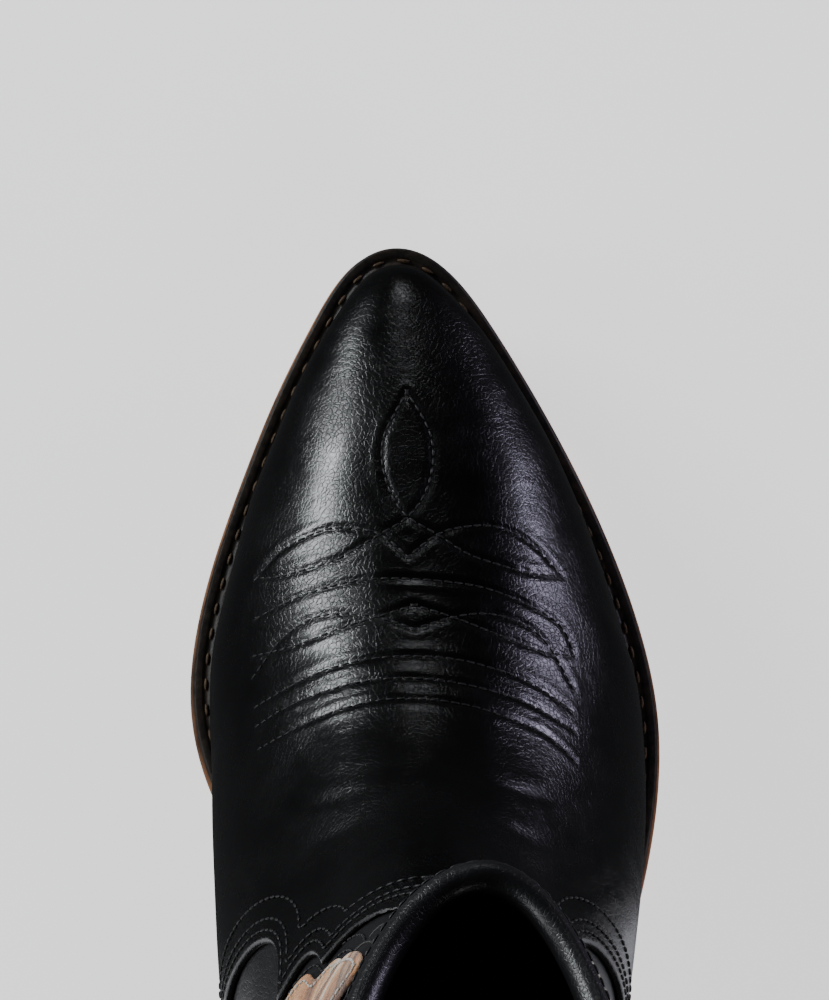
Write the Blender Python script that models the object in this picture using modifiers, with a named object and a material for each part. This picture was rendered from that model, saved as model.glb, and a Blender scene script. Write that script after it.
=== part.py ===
"""A right cowboy boot, built as its maker builds it: sole, heel, insole, stiffeners, lining and upper.

Millimetres in the tables, metres in Blender. +Y runs to the toe, +X to the outer side, +Z up.
The tables measure y from the back of the upper; the finished boot is moved so that the middle of the
heel's tread is the origin.
"""

import math

import bmesh
import bpy
import numpy as np
from mathutils import Vector

MM = 0.001

# Driving dimensions, in millimetres
SOLE_TIP = 288.5        # toe end of the outsole
SOLE_BACK = -3.5        # heel end of the outsole
HEEL_CENTRE = 36.0      # middle of the heel's tread, which becomes the origin
TOE_CENTRE = -4.2       # how far the toe leans to the inner side
OUTSOLE_THICK = 4.5
WELT_THICK = 3.0
WELT_WIDE = 10.0        # across the welt, under the upper included
INSOLE_THICK = 2.5
SOCK_THICK = 1.2
SHANK_THICK = 1.4
SHANK_WIDE = 14.0
HEEL_LIFTS = 5
TOP_LIFT_THICK = 6.2    # the rubber that meets the ground
GAP = 0.3               # clearance between pieces that touch
LEATHER = 1.4           # vamp and counter
SHAFT_LEATHER = 1.3     # shaft panels, and the stiffeners beside them
LINING = 1.1
INLAY = 0.8
BINDING = 1.0           # leather folded over the top edge
BINDING_DEEP = 6.0      # how far the binding reaches down
STRAP_WIDE = 28.0
STRAP_THICK = 1.6
STRAP_OUT = 45.0        # outer leg of a pull strap, below the rim
STRAP_IN = 40.0         # inner leg
STRAP_RISE = 14.0       # loop above the rim
STRAP_CLEAR = 0.8       # between a strap and the binding
PIPING_RADIUS = 1.0
PEG_RADIUS = 1.1
NAIL_RADIUS = 1.4
SCREW_RADIUS = 2.0
SHAFT_HUMP = 34.0       # the rim's sides above its front and back dips
COLUMNS = 9             # facets from ridge to feather on each side of the upper

# Depths below the vamp's outer surface at which each layer starts
SHAFT_DEPTH = LEATHER + GAP
LINING_DEPTH = SHAFT_DEPTH + SHAFT_LEATHER + GAP
WALL = LINING_DEPTH + LINING
INLAY_DEPTH = SHAFT_DEPTH - GAP - INLAY


# ---------------------------------------------------------------- curves

def spline(knots, values):
    """A natural cubic through the points, as a function."""
    x = np.asarray(knots, float)
    y = np.asarray(values, float)
    n = len(x)
    h = np.diff(x)
    system = np.eye(n)
    right = np.zeros(n)
    for i in range(1, n - 1):
        system[i, i - 1:i + 2] = h[i - 1], 2 * (h[i - 1] + h[i]), h[i]
        right[i] = 6 * ((y[i + 1] - y[i]) / h[i] - (y[i] - y[i - 1]) / h[i - 1])
    bend = np.linalg.solve(system, right)

    def value(at):
        i = int(np.clip(np.searchsorted(x, at) - 1, 0, n - 2))
        left, span = at - x[i], h[i]
        slope = (y[i + 1] - y[i]) / span - span * (2 * bend[i] + bend[i + 1]) / 6
        return y[i] + left * (slope + left * (bend[i] / 2 + left * (bend[i + 1] - bend[i]) / (6 * span)))

    return value


def plan_edge(tip, back, points):
    """Half an outline seen from above, x as a function of y, round at both ends."""
    length = tip[1] - back[1]

    def turn(y):
        return math.acos(max(-1.0, min(1.0, 1 - 2 * (tip[1] - y) / length)))

    table = [tip] + points + [back]
    curve = spline([turn(y) for _, y in table], [x for x, _ in table])
    return lambda y: curve(turn(y))


# Height of the feather line, where the upper meets the welt. The sole lies flat on the ground under the ball.
SOLE_BOTTOM = -(OUTSOLE_THICK + WELT_THICK + 2 * GAP)  # below the feather line
seat_curve = spline(
    [-8, 0, 20, 40, 58, 75, 92, 110, 130, 150, 168, 183, 200, 218, 236, 254, 270, 284, 294],
    [49.9, 49.6, 48.7, 47.4, 45.6, 42.6, 38.0, 31.5, 22.8, 14.8, 10.2, 8.2, 7.8, 8.6, 10.5, 13.3, 16.5, 20.0, 22.8],
)
SEAT_STEP = 9.0
SEAT_ROWS = [SOLE_BACK - 4 + SEAT_STEP * i for i in range(35)]


def seat(y):
    """The curve as straight runs between shared rows, so that stacked plates stay parallel."""
    place = (y - SEAT_ROWS[0]) / SEAT_STEP
    row = max(0, min(len(SEAT_ROWS) - 2, int(place)))
    low, high = (max(-SOLE_BOTTOM, seat_curve(SEAT_ROWS[k])) for k in (row, row + 1))
    return low + (high - low) * (place - row)


# Outsole edge, inner and outer side
sole_inner = plan_edge(
    (TOE_CENTRE, SOLE_TIP), (0, SOLE_BACK),
    [(-14.9, 283.5), (-23, 271), (-30.1, 256.6), (-36.7, 240), (-42.5, 223), (-46.3, 206), (-46.6, 189),
     (-42, 173), (-33, 154), (-26.5, 130), (-25.2, 108), (-27, 80), (-29.3, 45), (-27.5, 18), (-17, 2)],
)
sole_outer = plan_edge(
    (TOE_CENTRE, SOLE_TIP), (0, SOLE_BACK),
    [(7.2, 283.5), (17.2, 271), (26.2, 256.6), (35.2, 240), (42.7, 223), (48.2, 206), (51, 189),
     (50.5, 173), (47, 154), (40, 130), (33.5, 108), (30.2, 80), (29.5, 45), (27.5, 18), (17, 2)],
)

# Feather line: where the upper's skin turns under
FEATHER_TIP = 278.0
FEATHER_BACK = 3.0
feather_inner = plan_edge(
    (TOE_CENTRE, FEATHER_TIP), (0, FEATHER_BACK),
    [(-8.4, 275.5), (-12.6, 268.5), (-17, 260), (-21.5, 251), (-27, 238.5), (-31.3, 226), (-34.6, 213.5),
     (-37.2, 200), (-38, 186), (-36.4, 173), (-30.6, 154), (-24, 130), (-22.4, 108), (-23.8, 80),
     (-25.6, 45), (-23, 20), (-14, 7)],
)
feather_outer = plan_edge(
    (TOE_CENTRE, FEATHER_TIP), (0, FEATHER_BACK),
    [(0, 275.5), (6, 268.5), (12.4, 260), (18.4, 251), (25.6, 238.5), (31.3, 226), (35.9, 213.5),
     (39.2, 200), (41.2, 188), (41.6, 175), (38.8, 154), (33.4, 130), (29, 108), (26.4, 80),
     (25.8, 45), (23, 20), (14, 7)],
)

# Widest line of the upper over the forefoot
WIDE_TIP = 282.3
wide_inner = plan_edge(
    (TOE_CENTRE, WIDE_TIP), (0, -20),
    [(-10.6, 279.4), (-16.4, 270.7), (-21.4, 261.9), (-25.9, 253.3), (-31, 240.4), (-35.5, 227.5),
     (-38.8, 214.8), (-41.8, 202), (-43, 186), (-42.5, 170), (-40.8, 147), (-38, 120), (-36, 90), (-30, 30)],
)
wide_outer = plan_edge(
    (TOE_CENTRE, WIDE_TIP), (0, -20),
    [(2.1, 279.4), (9.5, 270.7), (16.1, 262.2), (21.5, 253.6), (28.5, 240.7), (34.2, 227.9),
     (38.7, 215.2), (42.7, 202.5), (45.6, 189.9), (46.6, 180), (46.1, 168), (43.8, 147), (38.6, 120),
     (36, 90), (30, 30)],
)

# The boot's spine: each station is a section from its foot on the sole or back to its head on the front ridge.
# The first and last entries repeat the pattern past the ends so that the curves stay true there.
FOOT = [277.3, 278, 277.3, 275, 270, 262.3, 251.6, 238, 221, 201.5, 181, 159, 135.5, 110, 84, 58, 35, 17, 6.6,
        3, 0.2, -2.3, -3.4, -2.9, 0.2, 3.8, 5.3, 3.5, -1.5, -8.5, -17, -26.5]
BACK_HEIGHT = [49.6, 51.2, 56, 65, 78, 95, 113, 133, 156, 181, 208, 238, 270]
HEAD = [(276, 17), (278, 18.6), (280.8, 20.9), (282.3, 25.2), (281.2, 29.6), (277.4, 33.2), (270, 36.6),
        (259, 40.6), (245, 45.3), (228, 50), (210, 55.5), (192.5, 62.3), (176.5, 71.5), (163, 82.5),
        (152.5, 94.5), (145, 107), (139.8, 119.5), (136, 132), (133.3, 144.5), (131.2, 156.5), (129.6, 168),
        (128.3, 179), (127.2, 189.5), (126.3, 199.5), (125.5, 209), (124.8, 218.5), (124.2, 227.5),
        (123.7, 236.5), (123.2, 245.2), (122.8, 253.6), (122.4, 261.8), (122, 270)]
STATION = list(range(-1, 31))
CORNER = 18             # the station at the back of the heel seat
RIM = 30                # the station at the top edge
PLANTAR = 9             # the last station whose width is the plan's widest line

foot_y = spline(STATION, FOOT)
back_z = spline(STATION[CORNER + 1:], BACK_HEIGHT)
head_y = spline(STATION, [p[0] for p in HEAD])
head_z = spline(STATION, [p[1] for p in HEAD])
ridge_x = spline([0, 3, 5, 7, 9, 11, 13, 16, 20, 24, 28, 30],
                 [TOE_CENTRE, -4.0, -3.4, -2.6, -1.7, -0.8, 0, 0.3, 1.1, 2.4, 3.8, 4.4])
back_x = spline([17, 18, 20, 22, 26, 30], [0, 0, 0.1, 0.6, 1.8, 3.6])
side_inner = spline([9, 10, 11, 12, 13, 14, 16, 18, 20, 22, 24, 26, 28, 30],
                    [-42.4, -41.9, -40.8, -38.9, -36.8, -35.2, -33.8, -34.2, -34.8, -34.4, -33.1, -31, -28.3, -25])
side_outer = spline([9, 10, 11, 12, 13, 14, 16, 18, 20, 22, 24, 26, 28, 30],
                    [46.7, 46.7, 44.4, 40.6, 37.2, 35.2, 33.8, 34.4, 35.4, 35.8, 35.4, 34.4, 32.4, 29.5])
waist_at = spline([-1, 0, 2, 4, 6, 9, 12, 15, 18, 22, 30],
                  [0.5, 0.5, 0.46, 0.38, 0.27, 0.18, 0.2, 0.29, 0.38, 0.47, 0.5])
lower_share = spline([0, 9, 18, 30], [0.34, 0.32, 0.42, 0.5])
rim_rise = spline([22, 24, 25, 26, 27, 28, 29, 30], [0, 0, 0.045, 0.145, 0.3, 0.51, 0.75, 1])


# Way inwards at the foot of each station: up from the insole, in and forwards from the heel's curve
inward_x = ([0, 14, 15, 16, 17, 18, 30], [0, 0, 0.5, 0.6, 0.45, 0, 0])
inward_y = ([0, 2, 14, 15, 16, 17, 18, 30], [-0.6, 0, 0, 0.15, 0.45, 0.8, 1, 1])
inward_z = ([0, 2, 18, 21, 30], [0.8, 1, 1, 0, 0])


def spine(station, depth):
    """Foot and head of a station in side view, at a depth inside the vamp's surface."""
    height = seat(foot_y(station)) + GAP if station < CORNER else back_z(station)
    foot = np.array([foot_y(station), height])
    head = np.array([head_y(station), head_z(station)])
    before, after = max(0, station - 0.05), min(RIM, station + 0.05)
    way = np.array([head_y(after) - head_y(before), head_z(after) - head_z(before)])
    normal = np.array([-way[1], way[0]]) / np.hypot(*way)
    inward = np.array([np.interp(station, *inward_y), np.interp(station, *inward_z)])
    if station == 0:
        foot = head
        inward = normal
    return foot + inward * depth, head + normal * depth


def skin(station, across, outer, depth=0.0):
    """A point of the upper: across is 0 at the feather or back line and 1 at the front ridge."""
    surface_foot, surface_head = spine(station, 0)
    foot, head = spine(station, depth)
    waist = waist_at(station)
    side = 1 if outer else -1
    if station < CORNER:
        low_x = (feather_outer if outer else feather_inner)(surface_foot[0])
        low_x -= side * depth * np.interp(station, *inward_x)
    else:
        low_x = back_x(station)
    widest_y = surface_foot[0] + waist * (surface_head[0] - surface_foot[0])
    plan_x = (wide_outer if outer else wide_inner)(widest_y)
    side_x = (side_outer if outer else side_inner)(max(station, PLANTAR))
    blend = min(1.0, max(0.0, station - PLANTAR + 0.5))
    wide_x = plan_x + (side_x - plan_x) * blend - side * depth
    closing = 1 - math.exp(-1.1 * station)
    low_x = TOE_CENTRE + (low_x - TOE_CENTRE) * min(1.0, station) if station < 1 else low_x
    wide_x = TOE_CENTRE + (wide_x - TOE_CENTRE) * closing
    share = lower_share(station)
    if across < share:
        angle = math.pi / 2 * across / share
        x = low_x + (wide_x - low_x) * math.sin(angle)
        along = waist * (1 - math.cos(angle))
    else:
        angle = math.pi / 2 * (across - share) / (1 - share)
        x = ridge_x(station) + (wide_x - ridge_x(station)) * math.cos(angle)
        along = waist + (1 - waist) * math.sin(angle)
    y, z = foot + (head - foot) * along
    if station > 22:
        z += SHAFT_HUMP * rim_rise(station) * math.sin(math.pi * along) ** 1.5
    return Vector((x, y, z))


# ---------------------------------------------------------------- Blender helpers

def start():
    for obj in list(bpy.data.objects):
        bpy.data.objects.remove(obj)
    for name in ("cowboy_boot", "cutters"):
        bpy.context.scene.collection.children.link(bpy.data.collections.new(name))
    centre = bpy.data.objects.new("heel_centre", None)
    centre.location.y = -HEEL_CENTRE * MM
    bpy.data.collections["cowboy_boot"].objects.link(centre)


def material(name, colour, roughness, metallic=0.0):
    made = bpy.data.materials.new(name)
    made.use_nodes = True
    shader = made.node_tree.nodes["Principled BSDF"]
    shader.inputs["Base Color"].default_value = (*colour, 1)
    shader.inputs["Roughness"].default_value = roughness
    shader.inputs["Metallic"].default_value = metallic
    return made


def add(name, mesh, look, collection="cowboy_boot"):
    obj = bpy.data.objects.new(name, mesh)
    bpy.data.collections[collection].objects.link(obj)
    obj.parent = bpy.data.objects["heel_centre"]
    if look:
        obj.data.materials.append(look)
    return obj


def mesh_from(name, bm):
    bmesh.ops.remove_doubles(bm, verts=bm.verts, dist=0.02 * MM)
    bmesh.ops.recalc_face_normals(bm, faces=bm.faces)
    mesh = bpy.data.meshes.new(name)
    bm.to_mesh(mesh)
    bm.free()
    mesh.shade_smooth()
    mesh.set_sharp_from_angle(angle=math.radians(40))
    return mesh


def grid_mesh(name, rows, closed=False):
    """A skin over rows of points, in millimetres."""
    bm = bmesh.new()
    made = [[bm.verts.new(Vector(p) * MM) for p in row] for row in rows]
    for low, high in zip(made, made[1:]):
        count = len(low) if closed else len(low) - 1
        for i in range(count):
            j = (i + 1) % len(low)
            bm.faces.new((low[i], low[j], high[j], high[i]))
    return bm


def cutter(name, outline, low_x=-90, high_x=90):
    """A prism through the boot from a side-view outline of (y, z) points."""
    bm = bmesh.new()
    face = bm.faces.new([bm.verts.new(Vector((low_x, y, z)) * MM) for y, z in outline])
    pushed = bmesh.ops.extrude_face_region(bm, geom=[face])
    moved = [v for v in pushed["geom"] if isinstance(v, bmesh.types.BMVert)]
    bmesh.ops.translate(bm, verts=moved, vec=Vector((high_x - low_x, 0, 0)) * MM)
    obj = add(name, mesh_from(name, bm), None, "cutters")
    obj.hide_render = True
    obj.display_type = "WIRE"
    return obj


def rod_cutter(name, radius, low, high):
    bm = bmesh.new()
    bmesh.ops.create_cone(bm, cap_ends=True, segments=12, radius1=radius * MM, radius2=radius * MM,
                          depth=(high.z - low.z) * MM)
    bmesh.ops.translate(bm, verts=bm.verts, vec=(low + high) / 2 * MM)
    obj = add(name, mesh_from(name, bm), None, "cutters")
    obj.hide_render = True
    obj.display_type = "WIRE"
    return obj


def rod(name, radius, low, high, look):
    bm = bmesh.new()
    bmesh.ops.create_cone(bm, cap_ends=True, segments=8, radius1=radius * MM, radius2=radius * MM,
                          depth=(high.z - low.z) * MM)
    bmesh.ops.translate(bm, verts=bm.verts, vec=(low + high) / 2 * MM)
    return add(name, mesh_from(name, bm), look)


def boolean(obj, other, operation):
    made = obj.modifiers.new(f"{operation.lower()}_{other.name}", "BOOLEAN")
    made.operation = operation
    made.object = other


# ---------------------------------------------------------------- side-view lines of the upper's pieces

def through(points, steps=5):
    """A smooth open line through (y, z) points."""
    knots = range(len(points))
    line_y = spline(knots, [p[0] for p in points])
    line_z = spline(knots, [p[1] for p in points])
    total = steps * (len(points) - 1)
    return [(line_y(i / steps), line_z(i / steps)) for i in range(total + 1)]


def shifted(line, distance):
    """The line moved sideways, to the left of its direction."""
    moved = []
    for i, (y, z) in enumerate(line):
        before = line[max(0, i - 1)]
        after = line[min(len(line) - 1, i + 1)]
        way = Vector((after[0] - before[0], after[1] - before[1])).normalized()
        moved.append((y - way.y * distance, z + way.x * distance))
    return moved


# Top edge of the vamp, from the tongue down to the feather: tongue, two scallops with cusps, and the wing
TONGUE_TOP = (132.6, 150)
UPPER_CUSP = (126.4, 107.6)
LOWER_CUSP = (121, 86.5)
WING_END = (105, 28)
VAMP_EDGE = ([(140, 154)]
             + through([TONGUE_TOP, (133.5, 135), (133.2, 121), UPPER_CUSP], 3)
             + through([UPPER_CUSP, (128.8, 101), (128.2, 94.5), LOWER_CUSP], 3)[1:]
             + through([LOWER_CUSP, (130.6, 81), (134.6, 73), (133, 62), (126.5, 48), (116.5, 37), WING_END], 3)[1:])

# Top edge of the counter, from behind the heel forward to the vamp's wing
COUNTER_EDGE = through([(-12, 121), (4, 118), (24, 106), (44, 94), (66, 82), (88, 66), (108, 48), (118, 38)], 2)

# Lower edge of the shaft and the linings under vamp and counter
SHAFT_FOOT = [(156, 124), (140, 118), (148, 92), (143, 64), (130, 45), (113, 34.5), (96, 46), (64, 74), (24, 94),
              (-14, 106)]

# Side seam of the shaft
SIDE_SEAM = through([(70, 40), (62, 86), (55, 130), (51, 180), (48.6, 240), (47.5, 300), (47, 340)], 2)

FORE_LINING = [(156, 118), (118, 92), (103, 20)]
TOE_BOX_BACK = [(244, 70), (247, 40), (240, 0)]
STIFFENER_FRONT = [(112, 60), (104, 30), (102, 0)]


def front_inlay():
    """Flame-shaped panel on each side of the shaft's front, as a closed side-view line."""
    return through([(104, 85), (114, 86), (120.6, 89.5), (124.2, 94.5), (125.4, 101), (123.6, 108), (125.8, 116),
                    (125, 126), (121.5, 140), (118.5, 158), (116, 184), (114, 212), (112, 240), (106.5, 264),
                    (97, 246), (87, 224), (89, 205), (78, 188), (82, 168), (75, 149), (83, 128), (90, 104),
                    (104, 85)], 2)[:-1]


def back_inlay():
    """Its partner on each side of the back."""
    return through([(24, 126), (35, 144), (39, 165), (34, 186), (39, 207), (32, 228), (22, 242), (10, 257),
                    (0, 240), (-1, 214), (5, 186), (11, 160), (14, 138), (24, 126)], 2)[:-1]


# ---------------------------------------------------------------- the bottom of the boot

def plan_rows(high_y, low_y, rounding=5):
    """Where a plate between two ends is divided: the shared rows, and closer ones round each end."""
    rows = {high_y - 0.15, low_y + 0.15}
    rows |= {y for y in SEAT_ROWS if low_y + 1 < y < high_y - 1}
    for i in range(1, rounding):
        ahead = 14 * (1 - math.cos(math.pi / 2 * i / rounding))
        rows |= {high_y - ahead, low_y + ahead}
    return sorted(rows)


def inside_upper(edge, side, inset, heel_end, toe_end):
    """A feather line drawn in from the upper's walls, between its own heel and toe ends."""
    blend = 36.0

    def value(y):
        if y < heel_end + blend:
            y = FEATHER_BACK + (y - heel_end) * (heel_end + blend - FEATHER_BACK) / blend
        elif y > toe_end - blend:
            y = FEATHER_TIP - (toe_end - y) * (FEATHER_TIP - toe_end + blend) / blend
        return edge(y) - side * inset

    return value


def plate(name, inner, outer, span, low, high, look, inset=0.0):
    """A plate between two plan edges, following the seat's curve, between two heights above it."""
    rows = []
    for y in plan_rows(max(span), min(span)):
        left, right = inner(y) + inset, outer(y) - inset
        if left >= right:
            continue
        z = seat(y)
        rows.append([(left, y, z + low), (left, y, z + high), (right, y, z + high), (right, y, z + low)])
    bm = grid_mesh(name, rows, closed=True)
    bm.verts.ensure_lookup_table()
    for end in (0, len(rows) - 1):
        bm.faces.new([bm.verts[4 * end + k] for k in range(4)])
    return add(name, mesh_from(name, bm), look)


def strip(name, path, width, low, high, look):
    """A flat strip whose outer edge follows a plan path of (x, y) points, to the left of its direction inwards."""
    rows = []
    for i, (x, y) in enumerate(path):
        before, after = path[max(0, i - 1)], path[min(len(path) - 1, i + 1)]
        way = Vector((after[0] - before[0], after[1] - before[1])).normalized()
        inner_x, inner_y = x + way.y * width, y - way.x * width
        rows.append([(x, y, seat(y) + low), (x, y, seat(y) + high),
                     (inner_x, inner_y, seat(inner_y) + high), (inner_x, inner_y, seat(inner_y) + low)])
    bm = grid_mesh(name, rows, closed=True)
    bm.verts.ensure_lookup_table()
    for end in (0, len(rows) - 1):
        bm.faces.new([bm.verts[4 * end + k] for k in range(4)])
    return add(name, mesh_from(name, bm), look)


def edge_path(tip_y, end_y, steps):
    """The sole's edge round one end, from the inner side to the outer."""
    spans = [end_y + (tip_y - end_y) * math.sin(math.pi / 2 * i / steps) for i in range(steps + 1)]
    return [(sole_inner(y), y) for y in spans] + [(sole_outer(y), y) for y in reversed(spans[:-1])]


HEEL_BREAST = 66.0      # front face of the heel at the sole
HEEL_SLOPE = 5.0        # how far the breast leans back on its way down
HEEL_UNDERCUT = 15.0    # how far the back leans forward
HEEL_TAPER = 4.5        # how much narrower each side is at the ground
HEEL_HIGH = 41.0
WEDGE_BOTTOM = 35.0


def heel_ring(z):
    """The heel's outline at a height, from the inner end of the breast round the back to the outer end."""
    down = 1 - z / HEEL_HIGH
    back = SOLE_BACK + 1.0 + HEEL_UNDERCUT * down ** 0.85
    front = HEEL_BREAST - HEEL_SLOPE * down
    ring = []
    steps = 7
    for side, edge in ((-1, sole_inner), (1, sole_outer)):
        half = []
        for i in range(steps + 1):
            share = math.sin(math.pi / 2 * i / steps)
            at = HEEL_BREAST + (SOLE_BACK - HEEL_BREAST) * share
            y = front + (back - front) * share
            x = edge(at) - side * (HEEL_TAPER * down + 0.6) * math.cos(math.pi / 2 * share ** 3)
            half.append((x, y))
        ring += half if side < 0 else half[-2::-1]
    return ring


def heel_layer(name, low, high, look, top=None):
    """One lift of the heel, between two heights; top gives the upper face's height along y instead."""
    lower, upper = heel_ring(low), heel_ring(high)
    rows = [[(x, y, low) for x, y in lower], [(x, y, top(y) if top else high) for x, y in upper]]
    bm = grid_mesh(name, rows, closed=True)
    bm.verts.ensure_lookup_table()
    count = len(lower)
    half = count // 2
    for start_at in (0, count):
        for i in range(half):
            a, b = start_at + i, start_at + i + 1
            c, d = start_at + count - 2 - i, start_at + count - 1 - i
            if b == c:
                bm.faces.new([bm.verts[k] for k in (a, b, d)])
            else:
                bm.faces.new([bm.verts[k] for k in (a, b, c, d)])
    return add(name, mesh_from(name, bm), look)


def build_heel(looks):
    screw_at = Vector((0, 34, 0))
    screw_low = Vector((0, 34, TOP_LIFT_THICK + GAP + 1.0))
    screw_high = Vector((0, 34, seat(34) + SOLE_BOTTOM - GAP))
    hole = rod_cutter("screw_hole", SCREW_RADIUS + GAP, screw_at + Vector((0, 0, TOP_LIFT_THICK - 2)),
                      screw_high + Vector((0, 0, 2)))
    lift_high = (WEDGE_BOTTOM - TOP_LIFT_THICK) / HEEL_LIFTS
    for i in range(HEEL_LIFTS):
        low = TOP_LIFT_THICK + GAP + i * lift_high
        lift = heel_layer(f"heel_lift_{i + 1}", low, low + lift_high - GAP, looks["stack"])
        boolean(lift, hole, "DIFFERENCE")
    wedge = heel_layer("heel_wedge", WEDGE_BOTTOM + GAP, HEEL_HIGH - 5, looks["stack"],
                       top=lambda y: seat(y) + SOLE_BOTTOM - GAP)
    boolean(wedge, hole, "DIFFERENCE")
    rod("heel_screw", SCREW_RADIUS, screw_low, screw_high, looks["steel"])
    cap = heel_layer("heel_top_lift", 0, TOP_LIFT_THICK, looks["rubber"])
    for i, (x, y) in enumerate([(-14, 26), (14, 26), (0, 19), (-15, 46), (15, 46)]):
        pocket = rod_cutter(f"nail_hole_{i + 1}", NAIL_RADIUS + GAP, Vector((x, y, -2)), Vector((x, y, 4.5)))
        boolean(cap, pocket, "DIFFERENCE")
        rod(f"heel_nail_{i + 1}", NAIL_RADIUS, Vector((x, y, 0.4)), Vector((x, y, 4.1)), looks["steel"])


WAIST_END = 98.0        # where the welt ends and the heel rand begins
PEG_SPOTS = 6


def build_bottom(looks):
    tread = SOLE_BOTTOM
    sole_top = tread + OUTSOLE_THICK
    sole = plate("outsole", sole_inner, sole_outer, (SOLE_TIP, SOLE_BACK), tread, sole_top, looks["sole"])
    strip("welt", edge_path(SOLE_TIP, WAIST_END, 17), WELT_WIDE, -GAP - WELT_THICK, -GAP, looks["welt"])
    strip("heel_rand", edge_path(SOLE_BACK, WAIST_END - 0.5, 11)[::-1], WELT_WIDE, -GAP - WELT_THICK, -GAP,
          looks["welt"])
    inside = WELT_WIDE + 0.5
    plate("cork_filler", sole_inner, sole_outer, (SOLE_TIP - 21, 160), -GAP - WELT_THICK, -2 * GAP,
          looks["cork"], inset=inside + 2)
    centre = spline([40, 100, 156], [0, 3.2, 4.0])
    plate("steel_shank", lambda y: centre(y) - SHANK_WIDE / 2, lambda y: centre(y) + SHANK_WIDE / 2,
          (156, 40), -GAP - SHANK_THICK, -GAP, looks["steel"])
    heel_end = FEATHER_BACK + WALL + 1.2
    toe_end = FEATHER_TIP - WALL
    edges = [inside_upper(edge, side, 1.8, heel_end, toe_end)
             for edge, side in ((feather_inner, -1), (feather_outer, 1))]
    plate("insole", *edges, (toe_end, heel_end), GAP, GAP + INSOLE_THICK, looks["insole"])
    sock = 2 * GAP + INSOLE_THICK
    plate("sock_liner", *edges, (toe_end - 1.5, heel_end), sock, sock + SOCK_THICK, looks["sock"], inset=1.0)
    for side, edge in (("inner", sole_inner), ("outer", sole_outer)):
        for i in range(PEG_SPOTS):
            y = 78 + 13 * i
            x = edge(y) + (6 if side == "inner" else -6)
            low = Vector((x, y, seat(y) + tread + 0.2))
            high = Vector((x, y, seat(y) + sole_top - GAP))
            reach = Vector((0, 0, 4))
            hole = rod_cutter(f"peg_hole_{side}_{i + 1}", PEG_RADIUS + GAP, low - reach, high + reach)
            boolean(sole, hole, "DIFFERENCE")
            rod(f"sole_peg_{side}_{i + 1}", PEG_RADIUS, low, high, looks["wood"])


# ---------------------------------------------------------------- the upper

def sheet_rows(depth):
    """The whole upper from the feather line to the rim, at one depth below the vamp's surface."""
    rows = []
    for station in range(RIM + 1):
        inner = [skin(station, j / COLUMNS, False, depth) for j in range(COLUMNS + 1)]
        outer = [skin(station, j / COLUMNS, True, depth) for j in range(COLUMNS)]
        rows.append(inner + outer[::-1])
    return rows


def leather_mesh(name, depth, thick):
    """A closed layer of the whole upper, between two depths."""
    bm = bmesh.new()
    faces = []
    for rows in (sheet_rows(depth), sheet_rows(depth + thick)):
        faces.append([[bm.verts.new(p * MM) for p in row] for row in rows])
    for made in faces:
        for low, high in zip(made, made[1:]):
            for i in range(2 * COLUMNS):
                corners = [low[i], low[i + 1], high[i + 1], high[i]]
                if i < COLUMNS:
                    corners = corners[1:] + corners[:1]
                bm.faces.new(corners[:3])
                bm.faces.new((corners[0], corners[2], corners[3]))
    out, inside = faces
    for k in range(CORNER):
        for column in (0, -1):
            bm.faces.new((out[k][column], out[k + 1][column], inside[k + 1][column], inside[k][column]))
    for i in range(2 * COLUMNS):
        bm.faces.new((out[RIM][i], out[RIM][i + 1], inside[RIM][i + 1], inside[RIM][i]))
    return mesh_from(name, bm)


def shell(name, mesh, look, regions):
    obj = add(name, mesh.copy(), look)
    for region in regions:
        boolean(obj, region, "INTERSECT")
    return obj


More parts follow.
